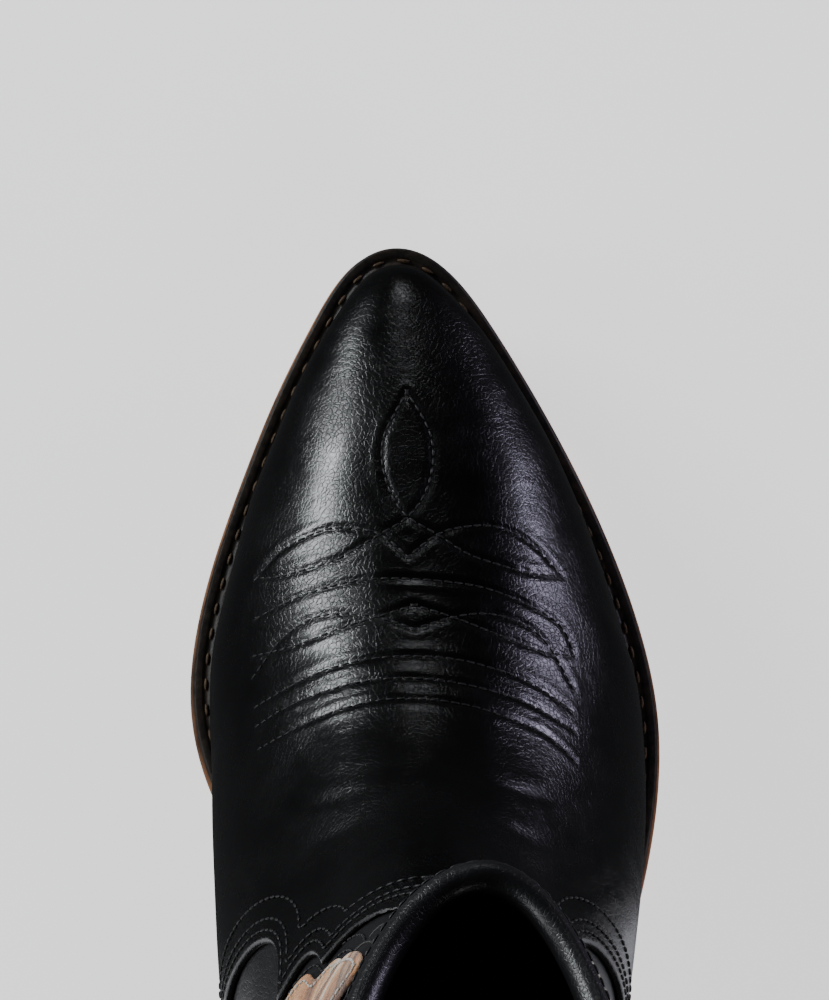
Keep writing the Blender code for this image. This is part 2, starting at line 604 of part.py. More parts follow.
def build_upper(looks):
    surface = leather_mesh("surface", 0, LEATHER)
    middle = leather_mesh("middle", SHAFT_DEPTH, SHAFT_LEATHER)
    inmost = leather_mesh("inmost", LINING_DEPTH, LINING)

    vamp = cutter("vamp_region", VAMP_EDGE + [(105, -20), (330, -20), (330, 160)])
    shell("vamp", surface, looks["leather"], [vamp])

    wing = shifted(VAMP_EDGE, -GAP - 0.2)
    wing_tail = [p for p in wing if p[1] < 38]
    counter_top = [p for p in COUNTER_EDGE if p[0] < wing_tail[0][0] - 2]
    counter = cutter("counter_region", counter_top + wing_tail + [(104.5, -20), (-40, -20), (-40, 121)])
    shell("counter", surface, looks["leather"], [counter])

    seam_front = shifted(SIDE_SEAM, -GAP)
    seam_back = shifted(SIDE_SEAM, GAP)
    above = cutter("above_foot", SHAFT_FOOT + [(-60, 106), (-60, 360), (200, 360), (200, 124)])
    fore = cutter("front_of_seam", seam_front + [(200, 340), (200, 40)])
    aft = cutter("behind_seam", seam_back + [(-60, 340), (-60, 40)])
    shell("shaft_front", middle, looks["shaft"], [above, fore])
    shell("shaft_back", middle, looks["shaft"], [above, aft])

    below_line = shifted(SHAFT_FOOT, GAP + 0.1)
    below = cutter("below_foot", below_line + [(-60, 106), (-60, -20), (330, -20), (330, 124)])
    toe_front = cutter("toe_region", shifted(TOE_BOX_BACK, GAP) + [(330, 0), (330, 70)])
    mid = cutter("backer_region", TOE_BOX_BACK + STIFFENER_FRONT[::-1] + [(112, 150), (244, 150)])
    rear = cutter("stiffener_region", shifted(STIFFENER_FRONT, -GAP) + [(-60, 0), (-60, 130), (112, 130)])
    shell("toe_box", middle, looks["board"], [toe_front])
    shell("vamp_backer", middle, looks["canvas"], [below, mid])
    shell("heel_stiffener", middle, looks["board"], [below, rear])

    fore_line = cutter("fore_lining_region", FORE_LINING + [(103, -20), (330, -20), (330, 118)])
    aft_line = cutter("aft_lining_region",
                      shifted(FORE_LINING, -GAP) + [(102.5, -20), (-60, -20), (-60, 360), (156, 360)])
    shell("vamp_lining", inmost, looks["lining"], [fore_line])
    shell("shaft_lining_front", inmost, looks["lining"], [aft_line, fore_seam(seam_front)])
    shell("shaft_lining_back", inmost, looks["lining"], [aft_seam(seam_back)])

    cover = leather_mesh("cover", INLAY_DEPTH, INLAY)
    for place, line in (("front", front_inlay()), ("back", back_inlay())):
        for side, low_x, high_x in (("inner", -90, 2), ("outer", 2, 90)):
            region = cutter(f"{place}_{side}_inlay_region", line, low_x, high_x)
            shell(f"inlay_{place}_{side}", cover, looks["inlay"], [region])


def fore_seam(line):
    return cutter("lining_front_of_seam", [(72, -20)] + line + [(200, 340), (200, -20)])


def aft_seam(line):
    return cutter("lining_behind_seam", [(71.4, -20)] + line + [(-60, 340), (-60, -20)])


def rim_frames(points):
    """Place, outward and upward directions on the rim at each (across, outer) point."""
    frames = []
    small = 0.02
    for across, outer in points:
        at = skin(RIM, across, outer)
        up = (at - skin(RIM - 0.3, across, outer)).normalized()
        low, high = max(0, across - small), min(1, across + small)
        along = skin(RIM, high, outer) - skin(RIM, low, outer)
        if across in (0, 1):
            along = Vector((1, 0, 0)) * (1 if outer else -1) * (1 if across == 0 else -1)
        out = along.cross(up).normalized()
        if out.dot(at - Vector((4, 48, at.z))) < 0:
            out = -out
        frames.append((at, out, up))
    return frames


def build_binding(look):
    around = [(j / COLUMNS, False) for j in range(COLUMNS + 1)]
    around += [(j / COLUMNS, True) for j in range(COLUMNS - 1, 0, -1)]
    outside = SHAFT_DEPTH - GAP
    inside = WALL + GAP
    section = [(outside - BINDING, -BINDING_DEEP), (outside - BINDING, GAP + BINDING),
               (inside + BINDING, GAP + BINDING), (inside + BINDING, -BINDING_DEEP),
               (inside, -BINDING_DEEP), (inside, GAP), (outside, GAP), (outside, -BINDING_DEEP)]
    rows = []
    for across, outer in around:
        up = (skin(RIM, across, outer) - skin(RIM - 0.4, across, outer)).normalized()
        rows.append([skin(RIM, across, outer, depth) + up * rise for depth, rise in section])
    rows.append(rows[0])
    add("top_binding", mesh_from("top_binding", grid_mesh("top_binding", rows, closed=True)), look)


def across_at(y, outer):
    """How far across the rim lies at a given y, found by halving."""
    low, high = 0.05, 0.95
    for _ in range(30):
        middle = (low + high) / 2
        if skin(RIM, middle, outer).y < y:
            low = middle
        else:
            high = middle
    return low


def build_straps(look):
    reach = SHAFT_DEPTH - GAP - BINDING  # depth of the binding's outer face
    outside = -reach + STRAP_CLEAR + STRAP_THICK / 2
    inside = -(WALL + GAP + BINDING) - STRAP_CLEAR - STRAP_THICK / 2
    middle = (outside + inside) / 2
    path = [(outside, -STRAP_OUT), (outside, -STRAP_OUT / 2), (outside, 0), (outside, STRAP_RISE * 0.5)]
    path += [(middle + (outside - middle) * math.cos(a), STRAP_RISE * (0.5 + 0.5 * math.sin(a)))
             for a in (math.pi * k / 6 for k in range(1, 6))]
    path += [(inside, STRAP_RISE * 0.5), (inside, 0), (inside, -STRAP_IN / 2), (inside, -STRAP_IN)]
    for side, outer in (("inner", False), ("outer", True)):
        seam_y = 47.5
        spots = [(across_at(seam_y + STRAP_WIDE * (k / 4 - 0.5), outer), outer) for k in range(5)]
        frames = rim_frames(spots)
        rows = [[at + out * n + up * u for at, out, up in frames] for n, u in path]
        strap = add(f"pull_strap_{side}", mesh_from("strap", grid_mesh("strap", rows)), look)
        made = strap.modifiers.new("thickness", "SOLIDIFY")
        made.thickness = STRAP_THICK * MM
        made.offset = 0


def find_on_skin(y, z, outer):
    """Station and across of the point at a side-view place on the shaft, by repeated correction."""
    station, across = 22.0, 0.5
    small = 0.01
    for _ in range(40):
        here = skin(station, across, outer)
        by_station = (skin(station + small, across, outer) - here) / small
        by_across = (skin(station, across + small, outer) - here) / small
        system = np.array([[by_station.y, by_across.y], [by_station.z, by_across.z]])
        step = np.linalg.solve(system, [y - here.y, z - here.z])
        station = float(np.clip(station + 0.7 * step[0], 12, 29.9))
        across = float(np.clip(across + 0.7 * step[1], 0.05, 0.95))
    return station, across


def outward(station, across, outer):
    small = 0.02
    up = skin(station + small, across, outer) - skin(station - small, across, outer)
    along = skin(station, across + small, outer) - skin(station, across - small, outer)
    out = up.cross(along).normalized()
    return out if (out.x > 0) == outer else -out


def build_piping(look):
    seam = spline([86, 130, 180, 240, 300], [62, 55, 51, 48.6, 47.5])
    low, high = 92.0, 300 - STRAP_OUT + 1
    for side, outer in (("inner", False), ("outer", True)):
        points = []
        steps = 14
        for i in range(steps + 1):
            z = low + (high - low) * i / steps
            station, across = find_on_skin(seam(z), z, outer)
            out = outward(station, across, outer)
            points.append(skin(station, across, outer) + out * (PIPING_RADIUS + GAP - SHAFT_DEPTH))
        curve = bpy.data.curves.new(f"side_piping_{side}", "CURVE")
        curve.dimensions = "3D"
        curve.bevel_depth = PIPING_RADIUS * MM
        curve.bevel_resolution = 1
        curve.use_fill_caps = True
        line = curve.splines.new("POLY")
        line.points.add(len(points) - 1)
        for place, p in zip(line.points, points):
            place.co = (*(p * MM), 1)
        add(f"side_piping_{side}", curve, look)


def main():
    start()
    looks = {
        "leather": material("black_leather", (0.012, 0.012, 0.014), 0.32),
        "shaft": material("black_shaft_leather", (0.016, 0.016, 0.018), 0.38),
        "lining": material("lining_leather", (0.05, 0.045, 0.042), 0.7),
        "inlay": material("hair_on_inlay", (0.62, 0.36, 0.17), 0.75),
        "board": material("stiffener_board", (0.55, 0.42, 0.28), 0.85),
        "canvas": material("backer_canvas", (0.62, 0.58, 0.5), 0.9),
        "welt": material("welt_leather", (0.05, 0.035, 0.028), 0.5),
        "sole": material("sole_leather", (0.2, 0.09, 0.035), 0.45),
        "stack": material("stacked_leather", (0.13, 0.065, 0.03), 0.42),
        "rubber": material("black_rubber", (0.02, 0.02, 0.02), 0.7),
        "cork": material("cork", (0.5, 0.32, 0.17), 0.9),
        "insole": material("insole_leather", (0.55, 0.4, 0.26), 0.8),
        "sock": material("sock_leather", (0.3, 0.3, 0.31), 0.6),
        "steel": material("steel", (0.6, 0.6, 0.62), 0.3, 1.0),
        "wood": material("peg_wood", (0.66, 0.47, 0.26), 0.7),
    }
    build_bottom(looks)
    build_heel(looks)
    build_upper(looks)
    build_binding(looks["leather"])
    build_straps(looks["leather"])
    build_piping(looks["leather"])


main()
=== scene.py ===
"""A right cowboy boot in black leather, dressed piece by piece in the order it is made.

Metres, +Z up, +Y to the toe, +X to the outer side. Sizes in the sections are millimetres, with y measured
from the back of the upper; the boot stands with the middle of its heel's tread at the origin.
"""

import math

import bmesh
import bpy
import numpy as np
from mathutils import Matrix, Vector


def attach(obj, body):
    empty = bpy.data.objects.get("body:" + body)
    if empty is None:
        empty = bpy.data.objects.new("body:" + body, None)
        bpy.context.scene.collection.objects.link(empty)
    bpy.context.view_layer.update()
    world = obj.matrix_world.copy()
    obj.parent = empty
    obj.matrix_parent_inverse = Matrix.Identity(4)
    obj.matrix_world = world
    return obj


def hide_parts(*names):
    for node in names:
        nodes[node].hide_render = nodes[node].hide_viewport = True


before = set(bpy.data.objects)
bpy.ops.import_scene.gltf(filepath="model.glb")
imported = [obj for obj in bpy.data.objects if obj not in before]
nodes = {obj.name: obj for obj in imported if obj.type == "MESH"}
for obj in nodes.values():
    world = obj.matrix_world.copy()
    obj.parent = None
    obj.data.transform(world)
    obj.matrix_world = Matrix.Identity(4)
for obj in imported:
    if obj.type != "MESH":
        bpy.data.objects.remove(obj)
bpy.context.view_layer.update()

MM = 0.001
HEEL_CENTRE = 36.0

# ---------------------------------------------------------------- the studio
# A wide pale floor with a glow of its own, soft boxes beyond the toe, beside the boot and behind it, and
# two low strips that stand for light off the floor. The room's walls are dim and its ceiling nearly black.

floor_mesh = bpy.data.meshes.new("floor")
floor_reach, floor_height = 6, -0.0004
floor_corners = [(x * floor_reach, y * floor_reach, floor_height)
                 for x, y in ((-1, -1), (1, -1), (1, 1), (-1, 1))]
floor_mesh.from_pydata(floor_corners, [], [(0, 1, 2, 3)])
floor = bpy.data.objects.new("floor", floor_mesh)
bpy.context.scene.collection.objects.link(floor)
floor_paint = bpy.data.materials.new("pale_floor")
floor_paint.use_nodes = True
shader = floor_paint.node_tree.nodes["Principled BSDF"]
shader.inputs["Base Color"].default_value = (0.8, 0.8, 0.8, 1)
shader.inputs["Roughness"].default_value = 0.9
shader.inputs["Emission Color"].default_value = (1, 1, 1, 1)
shader.inputs["Emission Strength"].default_value = 1.15
floor_mesh.materials.append(floor_paint)
floor.visible_glossy = False

room = bpy.data.worlds.new("room")
room.use_nodes = True
bpy.context.scene.world = room
room_tree = room.node_tree
direction = room_tree.nodes.new("ShaderNodeTexCoord")
height = room_tree.nodes.new("ShaderNodeSeparateXYZ")
wall_to_ceiling = room_tree.nodes.new("ShaderNodeValToRGB")
wall_to_ceiling.color_ramp.elements[0].position = 0.05
wall_to_ceiling.color_ramp.elements[0].color = (0.04, 0.041, 0.043, 1)
wall_to_ceiling.color_ramp.elements[1].position = 0.5
wall_to_ceiling.color_ramp.elements[1].color = (0.008, 0.008, 0.0085, 1)
room_tree.links.new(direction.outputs["Generated"], height.inputs[0])
room_tree.links.new(height.outputs["Z"], wall_to_ceiling.inputs[0])
room_tree.links.new(wall_to_ceiling.outputs[0], room_tree.nodes["Background"].inputs["Color"])


def soft_box(name, place, aim, width, long, power, colour):
    """A rectangular light at a place, turned to its aim."""
    light = bpy.data.lights.new(name, "AREA")
    light.shape = "RECTANGLE"
    light.size = width
    light.size_y = long
    light.energy = power
    light.color = colour
    lamp = bpy.data.objects.new(name, light)
    lamp.location = place
    lamp.rotation_euler = (Vector(aim) - Vector(place)).to_track_quat("-Z", "Y").to_euler()
    lamp.visible_camera = False
    bpy.context.scene.collection.objects.link(lamp)


soft_box("inner_toe_light", (-0.9, 0.86, 0.48), (-0.01, 0.19, 0.045), 0.5, 0.2, 9, (0.93, 0.97, 1.0))
soft_box("outer_toe_light", (1.0, 0.74, 0.27), (0.02, 0.18, 0.045), 0.3, 0.22, 3.6, (0.8, 0.74, 1.0))
soft_box("inner_floor_bounce", (-0.17, 0.07, 0.004), (-0.03, 0.07, 0.11), 0.07, 0.3, 0.07, (0.95, 0.97, 1.0))
soft_box("outer_floor_bounce", (0.17, 0.09, 0.004), (0.03, 0.09, 0.1), 0.07, 0.3, 0.05, (0.92, 0.92, 1.0))
soft_box("toe_light", (0, 1.3, 0.56), (0, 0.23, 0.035), 0.2, 0.1, 0.5, (0.95, 0.97, 1.0))
soft_box("inner_side_light", (-1.3, -0.1, 0.7), (0, 0.05, 0.12), 0.5, 0.9, 6, (0.95, 0.98, 1.0))
soft_box("back_light", (0.7, -1.2, 0.9), (0, 0.0, 0.15), 0.6, 0.6, 6, (0.97, 0.97, 1.0))

camera_data = bpy.data.cameras.new("camera")
camera_data.lens = 173.9
camera_data.sensor_width = 36
camera_data.clip_end = 50
camera = bpy.data.objects.new("camera", camera_data)
bpy.context.scene.collection.objects.link(camera)
bpy.context.scene.camera = camera
eye, aim = Vector((-0.024, -0.0215, 1.0)), Vector((-0.00005, 0.202, 0))
ahead = (aim - eye).normalized()
right = ahead.cross(Vector((0, 1, 0))).normalized()
top = right.cross(ahead)
camera.matrix_world = Matrix(((right.x, top.x, -ahead.x, eye.x), (right.y, top.y, -ahead.y, eye.y),
                              (right.z, top.z, -ahead.z, eye.z), (0, 0, 0, 1)))


# ---------------------------------------------------------------- the outsole
# Oak-tanned leather, 4.5 mm, cut to the last's outline and trimmed round, with a rubbed brown edge.
# It lies flat on the ground under the ball, springs up at the toe and rises through the waist to the heel.

GAP = 0.3
OUTSOLE_THICK = 4.5
WELT_THICK = 3.0
SOLE_TIP, SOLE_BACK = 288.5, -3.5
TOE_CENTRE = -4.2
SOLE_BOTTOM = -(OUTSOLE_THICK + WELT_THICK + 2 * GAP)


def curve_through(knots, values):
    """A natural cubic through the points, as a function of numbers or arrays."""
    x, y = np.asarray(knots, float), np.asarray(values, float)
    n, h = len(x), np.diff(x)
    system, right_side = np.eye(n), np.zeros(n)
    for i in range(1, n - 1):
        system[i, i - 1:i + 2] = h[i - 1], 2 * (h[i - 1] + h[i]), h[i]
        right_side[i] = 6 * ((y[i + 1] - y[i]) / h[i] - (y[i] - y[i - 1]) / h[i - 1])
    bend = np.linalg.solve(system, right_side)

    def value(at):
        i = np.clip(np.searchsorted(x, at) - 1, 0, n - 2)
        left, span = at - x[i], h[i]
        slope = (y[i + 1] - y[i]) / span - span * (2 * bend[i] + bend[i + 1]) / 6
        return y[i] + left * (slope + left * (bend[i] / 2 + left * (bend[i + 1] - bend[i]) / (6 * span)))

    return value


def plan_edge(tip, back, points):
    """Half an outline seen from above, x as a function of y, round at both ends."""
    length = tip[1] - back[1]

    def turn(y):
        return np.arccos(np.clip(1 - 2 * (tip[1] - y) / length, -1, 1))

    table = [tip] + points + [back]
    curve = curve_through([float(turn(y)) for _, y in table], [x for x, _ in table])
    return lambda y: curve(turn(np.asarray(y, float)))


seat_curve = curve_through(
    [-8, 0, 20, 40, 58, 75, 92, 110, 130, 150, 168, 183, 200, 218, 236, 254, 270, 284, 294],
    [49.9, 49.6, 48.7, 47.4, 45.6, 42.6, 38.0, 31.5, 22.8, 14.8, 10.2, 8.2, 7.8, 8.6, 10.5, 13.3, 16.5, 20.0,
     22.8])


def seat(y):
    """Height of the feather line, where the upper meets the welt."""
    return np.maximum(-SOLE_BOTTOM, seat_curve(y))


sole_inner = plan_edge(
    (TOE_CENTRE, SOLE_TIP), (0, SOLE_BACK),
    [(-14.9, 283.5), (-23, 271), (-30.1, 256.6), (-36.7, 240), (-42.5, 223), (-46.3, 206), (-46.6, 189),
     (-42, 173), (-33, 154), (-26.5, 130), (-25.2, 108), (-27, 80), (-29.3, 45), (-27.5, 18), (-17, 2)])
sole_outer = plan_edge(
    (TOE_CENTRE, SOLE_TIP), (0, SOLE_BACK),
    [(7.2, 283.5), (17.2, 271), (26.2, 256.6), (35.2, 240), (42.7, 223), (48.2, 206), (51, 189),
     (50.5, 173), (47, 154), (40, 130), (33.5, 108), (30.2, 80), (29.5, 45), (27.5, 18), (17, 2)])


def place(points):
    """Millimetres from the back of the upper, as metres from the middle of the heel."""
    return (np.asarray(points, float) - (0, HEEL_CENTRE, 0)) * MM


def piece(name, points, faces, look, stands_for, sharp=42):
    """One piece of the boot from its points and faces, riding on it and standing for its CAD nodes."""
    bm = bmesh.new()
    made = [bm.verts.new(p) for p in place(points)]
    for face in faces:
        corners = [made[k] for k in dict.fromkeys(face)]
        if len(corners) > 2:
            bm.faces.new(corners)
    bmesh.ops.remove_doubles(bm, verts=bm.verts, dist=0.004 * MM)
    bmesh.ops.dissolve_degenerate(bm, edges=bm.edges, dist=0.001 * MM)
    bmesh.ops.delete(bm, geom=[v for v in bm.verts if not v.link_faces], context="VERTS")
    bmesh.ops.recalc_face_normals(bm, faces=bm.faces)
    mesh = bpy.data.meshes.new(name)
    bm.to_mesh(mesh)
    bm.free()
    mesh.shade_smooth()
    mesh.set_sharp_from_angle(angle=math.radians(sharp))
    mesh.materials.append(look)
    return finished(name, mesh, stands_for)


def finished(name, mesh, stands_for):
    obj = bpy.data.objects.new(name, mesh)
    bpy.context.scene.collection.objects.link(obj)
    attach(obj, "root")
    if stands_for:
        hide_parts(*stands_for)
    return obj


def around(inner, outer, tip, back, steps):
    """The outline from above, down the inner side from the tip and back up the outer, and its inward ways."""
    turns = np.linspace(0, math.pi, steps + 1)
    y = tip - (1 - np.cos(turns)) / 2 * (tip - back)
    line = np.concatenate([np.stack([inner(y), y], 1), np.stack([outer(y), y], 1)[-2:0:-1]])
    way = np.roll(line, -1, 0) - np.roll(line, 1, 0)
    inward = np.stack([-way[:, 1], way[:, 0]], 1)
    inward /= np.linalg.norm(inward, axis=1)[:, None]
    return line, inward


def bands(rows, sides, joined=False):
    """Faces between rings of points, row after row; joined closes the last row to the first."""
    faces = []
    for i in range(rows if joined else rows - 1):
        for k in range(sides):
            m = (k + 1) % sides
            above = (i + 1) % rows
            faces.append((i * sides + k, i * sides + m, above * sides + m, above * sides + k))
    return faces


def ends(rows, sides):
    """The faces that close a swept piece at its first and last rings."""
    return [tuple(range(sides)), tuple((rows - 1) * sides + k for k in range(sides))]


def slab(line, inward, edge, height):
    """Points and faces of a plate. edge lists (inset, rise) from underside to top; height follows y."""
    count = len(line)
    rings = []
    for inset, rise in edge:
        ring = line + inward * inset
        rings.append(np.column_stack([ring, height(ring[:, 1]) + rise]))
    faces = bands(len(rings), count)
    for first in (0, (len(rings) - 1) * count):
        for i in range(count // 2):
            opposite, beyond = (count - i) % count, (count - i - 1) % count
            faces.append((first + i, first + i + 1, first + beyond, first + opposite))
    return np.concatenate(rings), faces


def look(name, colour, roughness, metallic=0.0):
    """A new material and its tools: the tree, its shader and a maker of nodes."""
    made = bpy.data.materials.new(name)
    made.use_nodes = True
    tree = made.node_tree
    shader = tree.nodes["Principled BSDF"]
    shader.inputs["Base Color"].default_value = (*colour, 1)
    shader.inputs["Roughness"].default_value = roughness
    shader.inputs["Metallic"].default_value = metallic

    def node(kind, links=(), **settings):
        new = tree.nodes.new("ShaderNode" + kind)
        for key, value in settings.items():
            if key in new.inputs:
                new.inputs[key].default_value = value
            else:
                setattr(new, key, value)
        for source, socket in links:
            tree.links.new(source, new.inputs[socket])
        return new

    coordinates = tree.nodes.new("ShaderNodeTexCoord").outputs["Object"]
    return made, tree, shader, node, coordinates


def ramp(node, source, *stops):
    """A colour ramp on a source with (position, colour) stops."""
    made = node("ValToRGB", [(source, "Fac")])
    elements = made.color_ramp.elements
    while len(elements) < len(stops):
        elements.new(0.5)
    for element, (position, colour) in zip(elements, stops):
        element.position = position
        element.color = (*colour, 1) if len(colour) == 3 else (colour[0],) * 3 + (1,)
    return made.outputs["Color"]


def multiplied(node, tree, tone, shade, amount):
    """A tone darkened by a shade."""
    mixed = node("Mix", data_type="RGBA", blend_type="MULTIPLY")
    mixed.inputs["Factor"].default_value = amount
    tree.links.new(tone, mixed.inputs[6])
    tree.links.new(shade, mixed.inputs[7])
    return mixed.outputs[2]


def refinish(names, look):
    """A finish for nodes that keep their own meshes."""
    for name in names:
        nodes[name].data.materials.clear()
        nodes[name].data.materials.append(look)


def sole_finish():
    made, tree, shader, node, coordinates = look("sole_leather", (0.3, 0.13, 0.05), 0.42)
    stretched = node("Mapping", [(coordinates, "Vector")], Scale=(1, 1, 5))
    mottle = node("TexNoise", [(stretched.outputs[0], "Vector")], Scale=90, Detail=6, Roughness=0.6)
    patches = node("TexNoise", [(coordinates, "Vector")], Scale=28, Detail=3)
    brown = ramp(node, mottle.outputs["Fac"], (0.3, (0.10, 0.038, 0.014)), (0.62, (0.42, 0.17, 0.055)))
    worn = ramp(node, patches.outputs["Fac"], (0.35, (0.45,)), (0.65, (1.0,)))
    tree.links.new(multiplied(node, tree, brown, worn, 1.0), shader.inputs["Base Color"])
    gloss = ramp(node, mottle.outputs["Fac"], (0.3, (0.32,)), (0.7, (0.55,)))
    tree.links.new(gloss, shader.inputs["Roughness"])
    bump = node("Bump", [(mottle.outputs["Fac"], "Height")], Strength=0.35, Distance=0.0003)
    tree.links.new(bump.outputs[0], shader.inputs["Normal"])
    return made


sole_brown = sole_finish()
sole_line, sole_inward = around(sole_inner, sole_outer, SOLE_TIP, SOLE_BACK, 150)
sole_edge = [(1.2, SOLE_BOTTOM), (0.45, SOLE_BOTTOM + 0.25), (0.1, SOLE_BOTTOM + 0.9), (0, SOLE_BOTTOM + 2.2),
             (0, SOLE_BOTTOM + 3.8), (0.12, SOLE_BOTTOM + 4.3), (0.5, SOLE_BOTTOM + OUTSOLE_THICK)]
points, faces = slab(sole_line, sole_inward, sole_edge, seat)
piece("outsole_leather", points, faces, sole_brown, ["outsole"])


# ---------------------------------------------------------------- the waist pegs
# Six lemonwood pegs driven through the outsole on each side of the waist and rasped flush. A row of their
# heads is set out by one shape that repeats, which the nails and the stitches use too.

PEG_START, PEG_PITCH, PEG_IN, PEG_COUNT = 78.0, 13.0, 6.0, 6


def peg_finish():
    made, tree, shader, node, coordinates = look("peg_wood", (0.6, 0.42, 0.22), 0.6)
    rings = node("TexNoise", [(coordinates, "Vector")], Scale=900, Detail=3)
    tone = ramp(node, rings.outputs["Fac"], (0.3, (0.36, 0.22, 0.1)), (0.7, (0.66, 0.47, 0.26)))
    tree.links.new(tone, shader.inputs["Base Color"])
    bump = node("Bump", [(rings.outputs["Fac"], "Height")], Strength=0.3, Distance=0.0001)
    tree.links.new(bump.outputs[0], shader.inputs["Normal"])
    return made


def repeat(name, tree_name, shape, rows, inputs, look, stands_for):
    """Sets a shape along rows of points with Geometry Nodes. Each row is (points, away), in millimetres and
    unit ways off the surface; shape adds its nodes to the tree and returns the geometry to set out."""
    points, aways, edges = [], [], []
    for row, away in rows:
        first = len(points)
        points += list(place(row))
        aways += list(away)
        edges += [(k, k + 1) for k in range(first, len(points) - 1)]
    mesh = bpy.data.meshes.new(name)
    mesh.from_pydata(points, edges, [])
    mesh.attributes.new("away", "FLOAT_VECTOR", "POINT").data.foreach_set("vector", np.ravel(aways))
    carrier = bpy.data.objects.new(name, mesh)
    bpy.context.scene.collection.objects.link(carrier)

    group = bpy.data.node_groups.new(tree_name, "GeometryNodeTree")
    group.interface.new_socket("Geometry", in_out="INPUT", socket_type="NodeSocketGeometry")
    group.interface.new_socket("Geometry", in_out="OUTPUT", socket_type="NodeSocketGeometry")
    sockets = {}
    for key, value in {**inputs, "Material": look}.items():
        kind = "NodeSocketMaterial" if key == "Material" else "NodeSocketFloat"
        sockets[key] = group.interface.new_socket(key, in_out="INPUT", socket_type=kind)
        if kind == "NodeSocketFloat":
            sockets[key].default_value = value

    def node(kind, links=(), **settings):
        new = group.nodes.new(kind)
        for key, value in settings.items():
            if hasattr(new, key):
                setattr(new, key, value)
            else:
                new.inputs[key].default_value = value
        for source, socket in links:
            group.links.new(source, new.inputs[socket])
        return new

    given = node("NodeGroupInput")
    named = {key: given.outputs[key] for key in sockets}
    line = node("GeometryNodeMeshToCurve", [(given.outputs["Geometry"], "Mesh")])
    spaced = node("GeometryNodeResampleCurve",
                  [(line.outputs[0], "Curve"), (named["Pitch"], "Length")], mode="LENGTH")
    to_points = node("GeometryNodeCurveToPoints", [(spaced.outputs[0], "Curve")], mode="EVALUATED")
    off = node("GeometryNodeInputNamedAttribute", data_type="FLOAT_VECTOR")
    off.inputs["Name"].default_value = "away"
    upright = node("FunctionNodeAlignRotationToVector", [(off.outputs["Attribute"], "Vector")], axis="Z")
    turned = node("FunctionNodeAlignRotationToVector",
                  [(upright.outputs[0], "Rotation"), (to_points.outputs["Tangent"], "Vector")],
                  axis="X", pivot_axis="Z")
    set_out = node("GeometryNodeInstanceOnPoints",
                   [(to_points.outputs["Points"], "Points"), (shape(node, named, group), "Instance"),
                    (turned.outputs[0], "Rotation")])
    real = node("GeometryNodeRealizeInstances", [(set_out.outputs[0], "Geometry")])
    painted = node("GeometryNodeSetMaterial",
                   [(real.outputs[0], "Geometry"), (named["Material"], "Material")])
    out = node("NodeGroupOutput")
    group.links.new(painted.outputs[0], out.inputs["Geometry"])

    modifier = carrier.modifiers.new(tree_name, "NODES")
    modifier.node_group = group
    for key, value in {**inputs, "Material": look}.items():
        modifier[sockets[key].identifier] = value
    bpy.context.view_layer.update()
    done = bpy.data.meshes.new_from_object(carrier.evaluated_get(bpy.context.evaluated_depsgraph_get()))
    carrier.modifiers.remove(modifier)
    bpy.data.objects.remove(carrier)
    done.name = name
    done.shade_smooth()
    return finished(name, done, stands_for)


def peg_head(node, named, group):
    head = node("GeometryNodeMeshCylinder", Vertices=14)
    group.links.new(named["Radius"], head.inputs["Radius"])
    group.links.new(named["Depth"], head.inputs["Depth"])
    return head.outputs["Mesh"]


peg_rows = []
for edge, way in ((sole_inner, PEG_IN), (sole_outer, -PEG_IN)):
    for at in PEG_START + PEG_PITCH * np.arange(PEG_COUNT):
        run = np.array([at, at + PEG_PITCH * 0.4])  # too short for a second peg
        row = np.column_stack([edge(run) + way, run, seat(run) + SOLE_BOTTOM + 0.32])
        peg_rows.append((row, [(0, 0, -1)] * 2))
peg_nodes = [f"sole_peg_{side}_{k}" for side in ("inner", "outer") for k in range(1, PEG_COUNT + 1)]
repeat("waist_pegs", "peg_row", peg_head, peg_rows, {"Pitch": 0.1, "Radius": 1.1 * MM, "Depth": 0.9 * MM},
       peg_finish(), peg_nodes)


# ---------------------------------------------------------------- the heel
# Five lifts of sole leather on a wedge, skived to an underslung shape, burnished brown, on a rubber top
# lift that is nailed on. A screw holds the stack from inside, so it isn't seen.

TOP_LIFT_THICK = 6.2
HEEL_BREAST, HEEL_SLOPE, HEEL_UNDERCUT, HEEL_TAPER, HEEL_HIGH = 66.0, 5.0, 15.0, 4.5, 41.0
WEDGE_BOTTOM = 35.0


def heel_line(z, steps=44):
    """The heel's outline at a height, from the breast's inner end round the back, and its inward ways."""
    down = 1 - z / HEEL_HIGH
    back = SOLE_BACK + 1.0 + HEEL_UNDERCUT * down ** 0.85
    front = HEEL_BREAST - HEEL_SLOPE * down
    share = np.sin(math.pi / 2 * np.arange(steps + 1) / steps)
    at = HEEL_BREAST + (SOLE_BACK - HEEL_BREAST) * share
    y = front + (back - front) * share
    halves = []
    for side, edge in ((-1, sole_inner), (1, sole_outer)):
        x = edge(at) - side * (HEEL_TAPER * down + 0.6) * np.cos(math.pi / 2 * share ** 3)
        halves.append(np.column_stack([x, y]))
    line = np.concatenate([halves[0], halves[1][-2::-1]])
    centre = np.array([0, 40.0])
    inward = centre - line
    inward /= np.linalg.norm(inward, axis=1)[:, None]
    return line, inward


